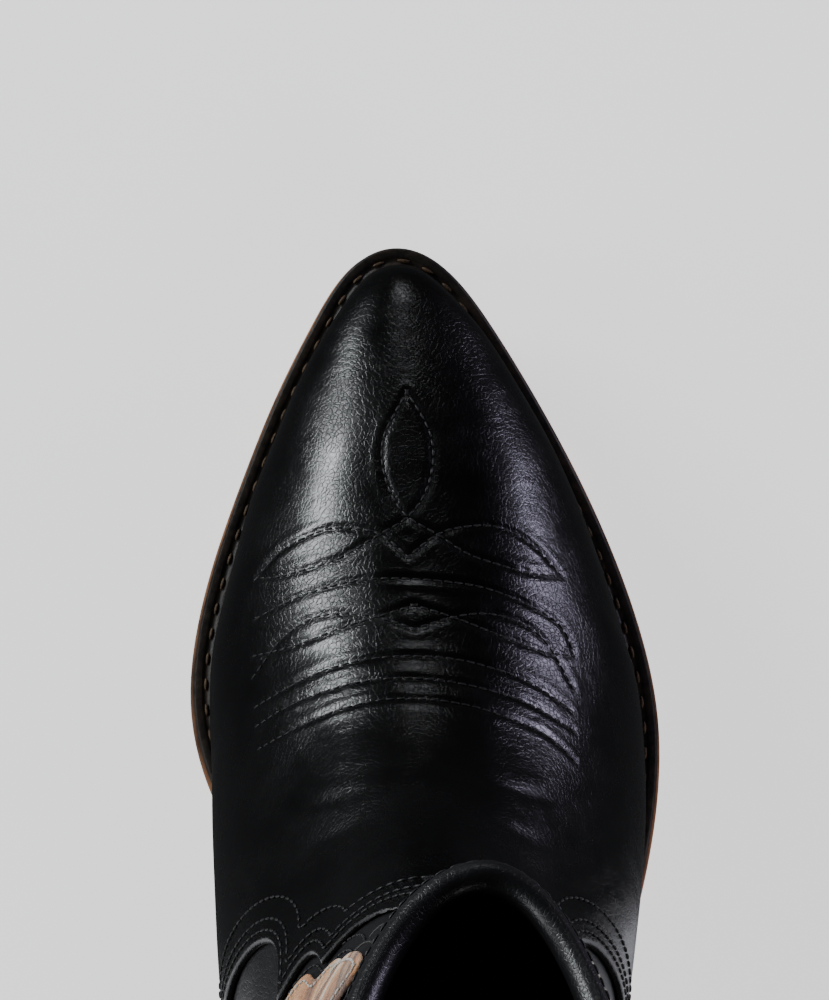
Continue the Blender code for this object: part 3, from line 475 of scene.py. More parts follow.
def heel_slab(low, high, soften, height=None):
    """Points and faces of one lift, its edges softened; height gives the upper face along y instead."""
    rings = []
    for z, inset in ((low, soften), (low + soften * 0.8, 0), (high - soften * 0.8, 0), (high, soften)):
        line, inward = heel_line(min(z, HEEL_HIGH))
        ring = line + inward * inset
        rise = np.full(len(ring), float(z))
        if height is not None and z > (low + high) / 2:
            rise = height(ring[:, 1]) + (z - high)
        rings.append(np.column_stack([ring, rise]))
    count = len(rings[0])
    faces = bands(len(rings), count)
    half = count // 2
    for first in (0, (len(rings) - 1) * count):
        for i in range(half):
            faces.append((first + i, first + i + 1, first + count - 2 - i, first + count - 1 - i))
    return np.concatenate(rings), faces


def stack_finish():
    made, tree, shader, node, coordinates = look("stacked_leather", (0.12, 0.055, 0.024), 0.36)
    flat = node("Mapping", [(coordinates, "Vector")], Scale=(1, 1, 14))
    layers = node("TexNoise", [(flat.outputs[0], "Vector")], Scale=60, Detail=8, Roughness=0.7)
    tone = ramp(node, layers.outputs["Fac"], (0.32, (0.03, 0.013, 0.007)), (0.55, (0.105, 0.045, 0.018)),
                (0.75, (0.2, 0.09, 0.038)))
    tree.links.new(tone, shader.inputs["Base Color"])
    bump = node("Bump", [(layers.outputs["Fac"], "Height")], Strength=0.4, Distance=0.0002)
    tree.links.new(bump.outputs[0], shader.inputs["Normal"])
    shader.inputs["Coat Weight"].default_value = 0.3
    shader.inputs["Coat Roughness"].default_value = 0.25
    return made


def rubber_finish():
    made, tree, shader, node, coordinates = look("black_rubber", (0.016, 0.016, 0.016), 0.72)
    grit = node("TexNoise", [(coordinates, "Vector")], Scale=1400, Detail=4)
    scuffs = node("TexNoise", [(coordinates, "Vector")], Scale=120, Detail=5)
    tone = ramp(node, scuffs.outputs["Fac"], (0.4, (0.012, 0.012, 0.012)), (0.75, (0.045, 0.043, 0.04)))
    tree.links.new(tone, shader.inputs["Base Color"])
    bump = node("Bump", [(grit.outputs["Fac"], "Height")], Strength=0.4, Distance=0.0002)
    tree.links.new(bump.outputs[0], shader.inputs["Normal"])
    return made


stack_brown = stack_finish()
HEEL_LIFTS = 5
lift_high = (WEDGE_BOTTOM - TOP_LIFT_THICK) / HEEL_LIFTS
for k in range(HEEL_LIFTS):
    low = TOP_LIFT_THICK + GAP + k * lift_high
    points, faces = heel_slab(low, low + lift_high - GAP * 0.4, 0.35)
    piece(f"heel_lift_leather_{k + 1}", points, faces, stack_brown, [f"heel_lift_{k + 1}"], 60)
points, faces = heel_slab(WEDGE_BOTTOM + GAP, HEEL_HIGH - 0.4, 0.35, lambda y: seat(y) + SOLE_BOTTOM - 0.12)
piece("heel_wedge_leather", points, faces, stack_brown, ["heel_wedge"], 60)
points, faces = heel_slab(0, TOP_LIFT_THICK, 0.5)
piece("heel_top_lift_rubber", points, faces, rubber_finish(), ["heel_top_lift"], 60)


def steel_finish():
    made, tree, shader, node, coordinates = look("steel", (0.5, 0.49, 0.47), 0.35, 1.0)
    wear = node("TexNoise", [(coordinates, "Vector")], Scale=700, Detail=4)
    gloss = ramp(node, wear.outputs["Fac"], (0.35, (0.25,)), (0.7, (0.55,)))
    tree.links.new(gloss, shader.inputs["Roughness"])
    return made


steel = steel_finish()
nail_rows = []
for x, y in ((-14, 26), (14, 26), (0, 19), (-15, 46), (15, 46)):
    nail_rows.append(([(x, y, 0.06), (x, y + 3, 0.06)], [(0, 0, -1)] * 2))
repeat("heel_nail_heads", "nail_row", peg_head, nail_rows,
       {"Pitch": 0.1, "Radius": 1.4 * MM, "Depth": 0.22 * MM}, steel,
       [f"heel_nail_{k}" for k in range(1, 6)])
refinish(["heel_screw", "steel_shank"], steel)


# ---------------------------------------------------------------- the welt and the heel rand
# Strips of dark vegetable-tanned leather, 3 mm, laid round the upper on the outsole. A groove carries the
# welt's stitches, waxed brown linen thread; the rand goes on round the heel.

WAIST_END = 98.0
WELT_WIDE = 10.0
WELT_INSET = 0.7
WELT_STITCH = 3.3  # from the sole's edge to the stitches


def edge_path(tip, end, steps):
    """The sole's edge round one end, from the inner side to the outer."""
    y = end + (tip - end) * np.sin(math.pi / 2 * np.arange(steps + 1) / steps)
    return np.concatenate([np.column_stack([sole_inner(y), y]), np.column_stack([sole_outer(y), y])[-2::-1]])


def even(line, step):
    """The line again with points at even steps along it."""
    run = np.concatenate([[0], np.cumsum(np.linalg.norm(np.diff(line, axis=0), axis=1))])
    count = max(2, int(round(run[-1] / step)) + 1)
    at = np.linspace(0, run[-1], count)
    return np.column_stack([np.interp(at, run, line[:, k]) for k in range(line.shape[1])])


def strip(path, section, turn):
    """Points and faces of a strip swept along a plan path; section lists (inset from the edge, rise)."""
    way = np.gradient(path, axis=0)
    inward = np.stack([way[:, 1], -way[:, 0]], 1) * turn
    inward /= np.linalg.norm(inward, axis=1)[:, None]
    rings = []
    for inset, rise in section:
        ring = path + inward * inset
        rings.append(np.column_stack([ring, seat(ring[:, 1]) + rise]))
    points = np.stack(rings, 1)
    rows, sides = points.shape[:2]
    return points.reshape(-1, 3), bands(rows, sides) + ends(rows, sides), inward


def welt_finish():
    made, tree, shader, node, coordinates = look("welt_leather", (0.03, 0.022, 0.018), 0.5)
    fine = node("TexNoise", [(coordinates, "Vector")], Scale=420, Detail=7, Roughness=0.65)
    broad = node("TexNoise", [(coordinates, "Vector")], Scale=60, Detail=3)
    dark = ramp(node, fine.outputs["Fac"], (0.35, (0.011, 0.009, 0.008)), (0.72, (0.062, 0.046, 0.036)))
    warm = ramp(node, broad.outputs["Fac"], (0.35, (0.5, 0.5, 0.5)), (0.7, (1.0, 0.86, 0.75)))
    tree.links.new(multiplied(node, tree, dark, warm, 1.0), shader.inputs["Base Color"])
    bump = node("Bump", [(fine.outputs["Fac"], "Height")], Strength=0.55, Distance=0.0004)
    tree.links.new(bump.outputs[0], shader.inputs["Normal"])
    return made


welt_dark = welt_finish()
low, high = -GAP - WELT_THICK, -GAP
rounded_edge = [(WELT_INSET + 0.35, low), (WELT_INSET, low + 0.6), (WELT_INSET, high - 0.7),
                (WELT_INSET + 0.5, high - 0.12)]
groove = [(WELT_STITCH + across, high - deep)
          for across, deep in ((-0.95, 0), (-0.6, 0.22), (-0.3, 0.42), (0.3, 0.42), (0.6, 0.22), (0.95, 0))]
welt_section = rounded_edge + groove + [(WELT_WIDE, high), (WELT_WIDE, low)]
welt_path = even(edge_path(SOLE_TIP, WAIST_END, 300), 1.4)
points, faces, welt_inward = strip(welt_path, welt_section, 1)
piece("welt_strip", points, faces, welt_dark, ["welt"])

rand_section = rounded_edge + [(WELT_INSET + 1.2, high), (WELT_WIDE, high), (WELT_WIDE, low)]
rand_path = even(edge_path(SOLE_BACK, WAIST_END - 0.5, 200), 1.4)
points, faces, _ = strip(rand_path, rand_section, -1)
piece("heel_rand_strip", points, faces, welt_dark, ["heel_rand"])


def thread_finish(name, dark, light, roughness):
    made, tree, shader, node, coordinates = look(name, light, roughness)
    twist = node("TexNoise", [(coordinates, "Vector")], Scale=2600, Detail=2)
    tone = ramp(node, twist.outputs["Fac"], (0.35, dark), (0.65, light))
    tree.links.new(tone, shader.inputs["Base Color"])
    bump = node("Bump", [(twist.outputs["Fac"], "Height")], Strength=0.5, Distance=0.0001)
    tree.links.new(bump.outputs[0], shader.inputs["Normal"])
    return made


def stitch(node, named, group):
    """One stitch: a small rounded length of thread along the seam."""
    ball = node("GeometryNodeMeshUVSphere", Segments=7, Rings=5)
    ball.inputs["Radius"].default_value = 1.0
    size = node("ShaderNodeCombineXYZ", [(named["Long"], "X"), (named["Thick"], "Y"), (named["Thick"], "Z")])
    upright = node("GeometryNodeTransform", [(ball.outputs["Mesh"], "Geometry")])
    upright.inputs["Rotation"].default_value = (0, math.pi / 2, 0)
    shaped = node("GeometryNodeTransform", [(upright.outputs[0], "Geometry"), (size.outputs[0], "Scale")])
    return shaped.outputs[0]


def sew(name, rows, pitch, long, thick, look):
    """Stitches along rows, at a pitch; long and thick are the stitch's size, in millimetres."""
    sizes = {"Pitch": pitch * MM, "Long": long / 2 * MM, "Thick": thick / 2 * MM}
    return repeat(name, name + "_rows", stitch, rows, sizes, look, [])


brown_thread = thread_finish("brown_thread", (0.02, 0.012, 0.006), (0.13, 0.075, 0.032), 0.6)
stitch_line = welt_path + welt_inward * WELT_STITCH
stitch_row = np.column_stack([stitch_line, seat(stitch_line[:, 1]) + high - 0.2])
stitch_row = stitch_row[3:-3]
sew("welt_stitches", [(stitch_row, [(0, 0, 1)] * len(stitch_row))], 5.4, 2.7, 0.8, brown_thread)


# ---------------------------------------------------------------- the last's shape
# The upper takes the shape of the last it is pulled over. Each station is a section from its foot, on the
# sole or up the back, to its head on the front ridge; around runs from -1 on the inner side, through 0 on
# the ridge, to 1 on the outer side.

LEATHER, SHAFT_LEATHER, LINING, INLAY = 1.4, 1.3, 1.1, 0.8
SHAFT_DEPTH = LEATHER + GAP
LINING_DEPTH = SHAFT_DEPTH + SHAFT_LEATHER + GAP
WALL = LINING_DEPTH + LINING
INLAY_DEPTH = SHAFT_DEPTH - GAP - INLAY
SHAFT_HUMP = 34.0
CORNER, RIM, PLANTAR = 18, 30, 9

feather_inner = plan_edge(
    (TOE_CENTRE, 278), (0, 3),
    [(-8.4, 275.5), (-12.6, 268.5), (-17, 260), (-21.5, 251), (-27, 238.5), (-31.3, 226), (-34.6, 213.5),
     (-37.2, 200), (-38, 186), (-36.4, 173), (-30.6, 154), (-24, 130), (-22.4, 108), (-23.8, 80),
     (-25.6, 45), (-23, 20), (-14, 7)])
feather_outer = plan_edge(
    (TOE_CENTRE, 278), (0, 3),
    [(0, 275.5), (6, 268.5), (12.4, 260), (18.4, 251), (25.6, 238.5), (31.3, 226), (35.9, 213.5),
     (39.2, 200), (41.2, 188), (41.6, 175), (38.8, 154), (33.4, 130), (29, 108), (26.4, 80),
     (25.8, 45), (23, 20), (14, 7)])
wide_inner = plan_edge(
    (TOE_CENTRE, 282.3), (0, -20),
    [(-10.6, 279.4), (-16.4, 270.7), (-21.4, 261.9), (-25.9, 253.3), (-31, 240.4), (-35.5, 227.5),
     (-38.8, 214.8), (-41.8, 202), (-43, 186), (-42.5, 170), (-40.8, 147), (-38, 120), (-36, 90), (-30, 30)])
wide_outer = plan_edge(
    (TOE_CENTRE, 282.3), (0, -20),
    [(2.1, 279.4), (9.5, 270.7), (16.1, 262.2), (21.5, 253.6), (28.5, 240.7), (34.2, 227.9),
     (38.7, 215.2), (42.7, 202.5), (45.6, 189.9), (46.6, 180), (46.1, 168), (43.8, 147), (38.6, 120),
     (36, 90), (30, 30)])
FOOT = [277.3, 278, 277.3, 275, 270, 262.3, 251.6, 238, 221, 201.5, 181, 159, 135.5, 110, 84, 58, 35, 17, 6.6,
        3, 0.2, -2.3, -3.4, -2.9, 0.2, 3.8, 5.3, 3.5, -1.5, -8.5, -17, -26.5]
BACK_HEIGHT = [49.6, 51.2, 56, 65, 78, 95, 113, 133, 156, 181, 208, 238, 270]
HEAD = [(276, 17), (278, 18.6), (280.8, 20.9), (282.3, 25.2), (281.2, 29.6), (277.4, 33.2), (270, 36.6),
        (259, 40.6), (245, 45.3), (228, 50), (210, 55.5), (192.5, 62.3), (176.5, 71.5), (163, 82.5),
        (152.5, 94.5), (145, 107), (139.8, 119.5), (136, 132), (133.3, 144.5), (131.2, 156.5), (129.6, 168),
        (128.3, 179), (127.2, 189.5), (126.3, 199.5), (125.5, 209), (124.8, 218.5), (124.2, 227.5),
        (123.7, 236.5), (123.2, 245.2), (122.8, 253.6), (122.4, 261.8), (122, 270)]
STATION = list(range(-1, 31))

foot_y = curve_through(STATION, FOOT)
back_z = curve_through(STATION[CORNER + 1:], BACK_HEIGHT)
head_y = curve_through(STATION, [p[0] for p in HEAD])
head_z = curve_through(STATION, [p[1] for p in HEAD])
ridge_x = curve_through([0, 3, 5, 7, 9, 11, 13, 16, 20, 24, 28, 30],
                        [TOE_CENTRE, -4.0, -3.4, -2.6, -1.7, -0.8, 0, 0.3, 1.1, 2.4, 3.8, 4.4])
back_x = curve_through([17, 18, 20, 22, 26, 30], [0, 0, 0.1, 0.6, 1.8, 3.6])
side_inner = curve_through([9, 10, 11, 12, 13, 14, 16, 18, 20, 22, 24, 26, 28, 30],
                           [-42.4, -41.9, -40.8, -38.9, -36.8, -35.2, -33.8, -34.2, -34.8, -34.4, -33.1, -31,
                            -28.3, -25])
side_outer = curve_through([9, 10, 11, 12, 13, 14, 16, 18, 20, 22, 24, 26, 28, 30],
                           [46.7, 46.7, 44.4, 40.6, 37.2, 35.2, 33.8, 34.4, 35.4, 35.8, 35.4, 34.4,
                            32.4, 29.5])
waist_at = curve_through([-1, 0, 2, 4, 6, 9, 12, 15, 18, 22, 30],
                         [0.5, 0.5, 0.46, 0.38, 0.27, 0.18, 0.2, 0.29, 0.38, 0.47, 0.5])
lower_share = curve_through([0, 9, 18, 30], [0.34, 0.32, 0.42, 0.5])
rim_rise = curve_through([22, 24, 25, 26, 27, 28, 29, 30], [0, 0, 0.045, 0.145, 0.3, 0.51, 0.75, 1])


def upper(station, around, depth=0.0):
    """Points of the upper at stations and ways around it, at depths below the vamp's surface."""
    station, around, depth = np.broadcast_arrays(*(np.asarray(v, float) for v in (station, around, depth)))
    outer = around > 0
    side = np.where(outer, 1.0, -1.0)
    across = 1 - np.abs(around)
    seated, up_back = seat(foot_y(station)) + GAP, back_z(np.maximum(station, CORNER - 1))
    foot = np.stack([foot_y(station), np.where(station < CORNER, seated, up_back)], -1)
    head = np.stack([head_y(station), head_z(station)], -1)
    before, after = np.maximum(0, station - 0.05), np.minimum(RIM, station + 0.05)
    way = np.stack([head_y(after) - head_y(before), head_z(after) - head_z(before)], -1)
    normal = np.stack([-way[..., 1], way[..., 0]], -1) / np.linalg.norm(way, axis=-1)[..., None]
    inward_y = np.interp(station, [0, 2, 14, 15, 16, 17, 18, 30], [-0.6, 0, 0, 0.15, 0.45, 0.8, 1, 1])
    inward_z = np.interp(station, [0, 2, 18, 21, 30], [0.8, 1, 1, 0, 0])
    inward = np.stack([inward_y, inward_z], -1)
    tip = (station < 1e-6)[..., None]
    surface_foot, surface_head = np.where(tip, head, foot), head
    inward = np.where(tip, normal, inward)
    foot = surface_foot + inward * depth[..., None]
    head = head + normal * depth[..., None]
    waist = waist_at(station)
    low_x = np.where(outer, feather_outer(surface_foot[..., 0]), feather_inner(surface_foot[..., 0]))
    inward_x = np.interp(station, [0, 14, 15, 16, 17, 18, 30], [0, 0, 0.5, 0.6, 0.45, 0, 0])
    low_x = low_x - side * depth * inward_x
    low_x = np.where(station < CORNER, low_x, back_x(station))
    widest_y = surface_foot[..., 0] + waist * (surface_head[..., 0] - surface_foot[..., 0])
    plan_x = np.where(outer, wide_outer(widest_y), wide_inner(widest_y))
    past_ball = np.maximum(station, PLANTAR)
    side_x = np.where(outer, side_outer(past_ball), side_inner(past_ball))
    blend = np.clip(station - PLANTAR + 0.5, 0, 1)
    wide_x = plan_x + (side_x - plan_x) * blend - side * depth
    low_x = TOE_CENTRE + (low_x - TOE_CENTRE) * np.minimum(1, station)
    wide_x = TOE_CENTRE + (wide_x - TOE_CENTRE) * (1 - np.exp(-1.1 * station))
    share = lower_share(station)
    ridge = ridge_x(station)
    low_turn = math.pi / 2 * np.clip(across / share, 0, 1)
    high_turn = math.pi / 2 * np.clip((across - share) / (1 - share), 0, 1)
    below = across < share
    x = np.where(below, low_x + (wide_x - low_x) * np.sin(low_turn),
                 ridge + (wide_x - ridge) * np.cos(high_turn))
    along = np.where(below, waist * (1 - np.cos(low_turn)), waist + (1 - waist) * np.sin(high_turn))
    yz = foot + (head - foot) * along[..., None]
    hump = SHAFT_HUMP * rim_rise(np.maximum(station, 22)) * np.clip(np.sin(math.pi * along), 0, 1) ** 1.5
    z = yz[..., 1] + np.where(station > 22, hump, 0)
    return np.stack([x, yz[..., 0], z], -1)


def off_surface(station, around):
    """Unit ways off the upper's surface."""
    small = 0.02
    station = np.clip(station, 0.1, RIM - small)
    up = upper(station + small, around) - upper(station - small, around)
    over = upper(station, around + small) - upper(station, around - small)
    away = np.cross(over, up)
    away /= np.linalg.norm(away, axis=-1)[..., None]
    outward = upper(station, around) - upper(station, around, 1.0)
    return away * np.sign((away * outward).sum(-1))[..., None]


guess_station, guess_around = np.meshgrid(np.linspace(0.3, 29.9, 240), np.linspace(-0.99, 0.99, 161),
                                          indexing="ij")
guess_points = upper(guess_station, guess_around)


def find(targets, axes, allowed):
    """Stations and ways around of points known in two axes, among the allowed part of the surface."""
    targets = np.asarray(targets, float)
    flat = guess_points[..., list(axes)]
    station, around = np.zeros(len(targets)), np.zeros(len(targets))
    for k, target in enumerate(targets):
        gap = np.where(allowed, np.linalg.norm(flat - target, axis=-1), 1e9)
        i = np.unravel_index(np.argmin(gap), gap.shape)
        station[k], around[k] = guess_station[i], guess_around[i]
    small = 1e-3
    for _ in range(12):
        here = upper(station, around)[:, list(axes)]
        by_station = (upper(station + small, around)[:, list(axes)] - here) / small
        by_around = (upper(station, around + small)[:, list(axes)] - here) / small
        miss = targets - here
        det = by_station[:, 0] * by_around[:, 1] - by_station[:, 1] * by_around[:, 0]
        det = np.where(np.abs(det) < 1e-3, 1e-3, det)
        step_station = (miss[:, 0] * by_around[:, 1] - miss[:, 1] * by_around[:, 0]) / det
        step_around = (by_station[:, 0] * miss[:, 1] - by_station[:, 1] * miss[:, 0]) / det
        station = np.clip(station + np.clip(0.8 * step_station, -0.5, 0.5), 0.05, RIM - 0.02)
        around = np.clip(around + np.clip(0.8 * step_around, -0.05, 0.05), -0.995, 0.995)
    return station, around


def from_above(line):
    """Places on the top of the foot under (x, y) points."""
    return find(line, (0, 1), np.abs(guess_around) < 0.66)


def from_side(line, outer):
    """Places on one side of the upper beside (y, z) points."""
    side = guess_around > 0.004 if outer else guess_around < -0.004
    return find(line, (1, 2), side)


def through(points, steps=5):
    """A smooth open line through points."""
    knots = np.arange(len(points))
    curves = [curve_through(knots, [p[k] for p in points]) for k in range(len(points[0]))]
    at = np.linspace(0, len(points) - 1, steps * (len(points) - 1) + 1)
    return np.stack([curve(at) for curve in curves], -1)


def shifted(line, distance):
    """The line moved sideways, to the left of its direction."""
    line = np.asarray(line, float)
    way = np.gradient(line, axis=0)
    way /= np.linalg.norm(way, axis=1)[:, None]
    return line + np.stack([-way[:, 1], way[:, 0]], 1) * distance


def inside(region, points):
    """How far points lie inside a closed side-view line, negative outside it."""
    region, points = np.asarray(region, float), np.asarray(points, float)
    start, end = region, np.roll(region, -1, 0)
    best = np.full(len(points), 1e9)
    crossings = np.zeros(len(points), int)
    for a, b in zip(start, end):
        along = b - a
        long = max(along @ along, 1e-12)
        t = np.clip(((points - a) @ along) / long, 0, 1)
        best = np.minimum(best, np.linalg.norm(points - a - t[:, None] * along, axis=1))
        straddles = (a[1] > points[:, 1]) != (b[1] > points[:, 1])
        rise = b[1] - a[1] if abs(b[1] - a[1]) > 1e-12 else 1e-12
        crossings += straddles & (points[:, 0] < a[0] + (points[:, 1] - a[1]) / rise * (b[0] - a[0]))
    return np.where(crossings % 2 == 1, best, -best)


def sliced(values, sheets, polygons, level, keep_below):
    """Divides polygons along a level of their points' values; sheets are the points' other numbers."""
    values = list(values)
    sheets = list(sheets)
    made, cut = [], {}
    near = 0.07

    def crossing(a, b):
        key = (min(a, b), max(a, b))
        if key not in cut:
            t = (level - values[a]) / (values[b] - values[a])
            cut[key] = len(values)
            values.append(level)
            sheets.append(sheets[a] + (sheets[b] - sheets[a]) * t)
        return cut[key]

    above_level = np.array(values) - level
    where = np.sign(np.where(np.abs(above_level) < near, 0, above_level)).astype(int)
    for polygon in polygons:
        signs = where[list(polygon)]
        if (signs >= 0).all():
            made.append(polygon)
            continue
        if (signs <= 0).all():
            if keep_below:
                made.append(polygon)
            continue
        above, below = [], []
        for k, a in enumerate(polygon):
            b = polygon[(k + 1) % len(polygon)]
            if where[a] >= 0:
                above.append(a)
            if where[a] <= 0:
                below.append(a)
            if where[a] * where[b] < 0:
                middle = crossing(a, b)
                above.append(middle)
                below.append(middle)
        made.append(tuple(above))
        if keep_below:
            made.append(tuple(below))
    return values, sheets, [p for p in made if len(p) > 2]


def hide_piece(name, stations, rounds, depth, thick, regions, look, stands_for, relief=None,
               turn=0.55):
    """One cut piece of the upper as a closed layer: a fine net of the last's surface trimmed to closed
    side-view lines, its cut edges turned over. relief gives a depth to add at (station, around)."""
    net_station, net_around = np.meshgrid(stations, rounds, indexing="ij")
    sheets = np.stack([net_station.ravel(), net_around.ravel()], 1)
    wide = len(rounds)
    corner = np.arange((len(stations) - 1) * wide).reshape(-1, wide)[:, :-1].ravel()
    polygons = [(c, c + 1, c + wide + 1, c + wide) for c in corner]
    surface = upper(*sheets.T)
    values = np.full(len(sheets), 1e9)
    for line in regions:
        values = np.minimum(values, inside(line, surface[:, 1:]))
    polygons = [p for p in polygons if max(values[list(p)]) > -0.5]
    values, sheets, polygons = sliced(values, sheets, polygons, 0.0, False)
    for level in (turn * 0.45, turn * 1.1):
        values, sheets, polygons = sliced(values, sheets, polygons, level, True)
    values, sheets = np.array(values), np.array(sheets)
    used = np.unique(np.concatenate([np.array(p) for p in polygons]))
    number = np.full(len(sheets), -1)
    number[used] = np.arange(len(used))
    values, sheets = values[used], sheets[used]
    polygons = [tuple(int(number[k]) for k in p) for p in polygons]
    short = np.clip(1 - values / (turn * 1.1), 0, 1)
    rounding = turn * (1 - np.sqrt(np.clip(1 - short ** 2, 0, 1)))
    outside = depth + np.minimum(rounding, thick * 0.45)
    within = depth + thick - np.minimum(rounding, thick * 0.45) * 0.6
    if relief is not None:
        pressed = relief(*sheets.T)
        outside = outside + pressed
        within = np.maximum(within, outside + 0.35)
    points = np.concatenate([upper(*sheets.T, outside), upper(*sheets.T, within)])
    count = len(sheets)
    edges = {}
    for p in polygons:
        for k, a in enumerate(p):
            b = p[(k + 1) % len(p)]
            edges[(a, b)] = edges.get((a, b), 0) + 1
    faces = list(polygons) + [tuple(k + count for k in p[::-1]) for p in polygons]
    for a, b in edges:
        if (b, a) not in edges:
            faces.append((b, a, a + count, b + count))
    return piece(name, points, faces, look, stands_for, sharp=60)


def spread(low, high, step, at):
    """Numbers from low to high that lie about a step apart on the boot, at(numbers) giving points there."""
    fine = np.linspace(low, high, 800)
    points = at(fine)
    run = np.concatenate([[0], np.cumsum(np.linalg.norm(np.diff(points, axis=0), axis=1))])
    count = max(2, int(round(run[-1] / step)) + 1)
    return np.interp(np.linspace(0, run[-1], count), run, fine)


def ridge_line(station):
    return upper(station, np.full(len(station), 0.0))


def girth(station):
    return lambda around: upper(np.full(len(around), float(station)), around)


# ---------------------------------------------------------------- the vamp
# One piece of black calf, finished with a fine grain and a waxed shine, lasted over the foot. It has a
# tongue up the instep and two scallops on each side. Rows of black thread are sewn into it as decoration,
# and each row pulls the leather down a little.

TONGUE_TOP, UPPER_CUSP, LOWER_CUSP, WING_END = (132.6, 150), (126.4, 107.6), (121, 86.5), (105, 28)
vamp_top = np.concatenate([
    [(140, 154)],
    through([TONGUE_TOP, (133.5, 135), (133.2, 121), UPPER_CUSP], 8),
    through([UPPER_CUSP, (128.8, 101), (128.2, 94.5), LOWER_CUSP], 8)[1:],
    through([LOWER_CUSP, (130.6, 81), (134.6, 73), (133, 62), (126.5, 48), (116.5, 37), WING_END], 8)[1:]])
vamp_region = np.concatenate([vamp_top, [(105, -20), (330, -20), (330, 160)]])

# The decoration, as (x, y) lines seen from above: an almond, two crossed leaves, and arches under them
almond_left = [(-2.7, 251), (-5.6, 245.2), (-7.8, 238.6), (-6.6, 230), (-2.6, 223.2)]
almond_right = [(-2.7, 251), (0.6, 245.2), (2.6, 238.6), (1.5, 230), (-2.6, 223.2)]
ornament = [
    through(almond_left + [(3.4, 219.4), (9, 215.6), (15.5, 213.5), (22, 212.3), (28.5, 212.6)], 6),
    through(almond_right + [(-8.3, 219.4), (-15.6, 215), (-22.6, 213), (-28.8, 212.2), (-32, 212.6)], 6),
    through([(-2.6, 214.3), (-8.3, 219.4), (-13.7, 220.9), (-18.8, 221.2), (-25, 219.3), (-29, 217),
             (-32.9, 212.9)], 6),
    through([(-2.6, 214.3), (3.4, 219.4), (8.8, 221.3), (13.6, 221.9), (18.6, 220.9), (24, 217.6),
             (28.7, 212.8)], 6),
    through([(-32.8, 204.2), (-26, 206.6), (-17, 208.9), (-9, 209.7), (-1.7, 209.5), (8.7, 208.7),
             (16, 207.2), (23, 204.6), (28.6, 201.2), (30.8, 195.6)], 6),
    through([(-1.5, 198.6), (-9, 201.4), (-15.6, 202.5), (-21.6, 202.1), (-27, 199.3), (-30, 196.4),
             (-33.6, 191.8)], 6),
    through([(-1.5, 198.6), (6.3, 201.3), (13, 202.4), (19, 201.4), (24, 198.6), (27.4, 194),
             (30.4, 188.4)], 6),
    through([(-1.5, 203.8), (-9, 201.4), (-16, 199.4), (-23, 197.2), (-28.5, 196.3), (-33.5, 196.2)], 6),
    through([(-1.5, 203.8), (6.3, 201.3), (13, 198.8), (19, 196.7), (25, 195.3), (30.7, 195.5)], 6),
    through([(-33, 185.2), (-26.8, 187.8), (-18.9, 190.6), (-10.4, 192.2), (-1.4, 192.7), (7.4, 192),
             (13, 190.8), (21, 188.4), (29.8, 183.4)], 6),
    through([(-32.8, 181), (-26.1, 184), (-18.3, 186.1), (-10.6, 187.5), (-1.4, 187.8), (6.9, 186.9),
             (15.3, 185.2), (22.1, 183.1), (30.2, 179)], 6),
    through([(-32.3, 176), (-24.6, 178.9), (-16.9, 181.4), (-8.9, 183), (-1.3, 183.2), (8.5, 182.1),
             (17.2, 179.8), (24.8, 176.9), (30.2, 172.4)], 6)]
ornament_rows = [from_above(even(line, 0.8)) for line in ornament]

# Rows along the scallops: three beside the vamp's top edge on each side
scallop_rows = []
for outer in (False, True):
    for inset in (2.0, 4.2, 8.4):
        line = shifted(vamp_top[1:], inset)
        keep = inside(vamp_region, line) > inset * 0.93
        scallop_rows.append(from_side(even(line[keep], 0.8), outer))


def groove_relief(rows, deep, wide):
    """Depth added to the leather near stitched rows, with a slight swelling between them."""
    line = np.concatenate([upper(s, a) for s, a in rows])

    def depth_at(station, around):
        points = upper(station, around)
        nearest = np.full(len(points), 1e9)
        for first in range(0, len(line), 200):
            gap = np.linalg.norm(points[:, None] - line[None, first:first + 200], axis=-1)
            nearest = np.minimum(nearest, gap.min(1))
        dip = deep * np.exp(-(nearest / wide) ** 2)
        swell = -0.3 * deep * np.exp(-((nearest - 2.6 * wide) / (1.3 * wide)) ** 2)
        return dip + swell

    return depth_at


# Creases across the ball where the foot bends, as (x, y) seen from above, with a depth
creases = [
    ([(-38, 166), (-30, 162), (-20, 161), (-10, 163)], 0.24),
    ([(-39, 158), (-31, 153), (-22, 152), (-13, 155)], 0.27),
    ([(10, 166), (20, 163), (30, 164), (39, 168)], 0.24),
    ([(12, 157), (22, 153), (32, 154), (41, 160)], 0.3),
    ([(-36, 147), (-28, 143), (-20, 143)], 0.24),
    ([(20, 146), (30, 144), (38, 149)], 0.24)]
crease_rows = [(from_above(even(through(line, 6), 1.0)), deep) for line, deep in creases]


def vamp_relief(station, around):
    """Stitched grooves, bending creases and the slight unevenness of a hand-lasted vamp."""
    depth = ornament_groove(station, around)
    points = upper(station, around)
    for (s, a), deep in crease_rows:
        line = upper(s, a)
        gap = np.linalg.norm(points[:, None] - line[None], axis=-1)
        nearest = gap.min(1)
        t = gap.argmin(1) / max(1, len(line) - 1)
        fade = np.sin(math.pi * np.clip(t, 0.02, 0.98)) ** 0.5
        fold = np.exp(-(nearest / 1.6) ** 2) - 0.45 * np.exp(-((nearest - 3.4) / 2.2) ** 2)
        depth = depth + deep * fade * fold
    x, y, z = points.T
    uneven = 0.10 * np.sin(x / 6.1 + 1.3 * np.sin(y / 11.0)) * np.sin(y / 8.3 + z / 9.7)
    return depth + uneven


ornament_groove = groove_relief(ornament_rows, 0.34, 0.62)


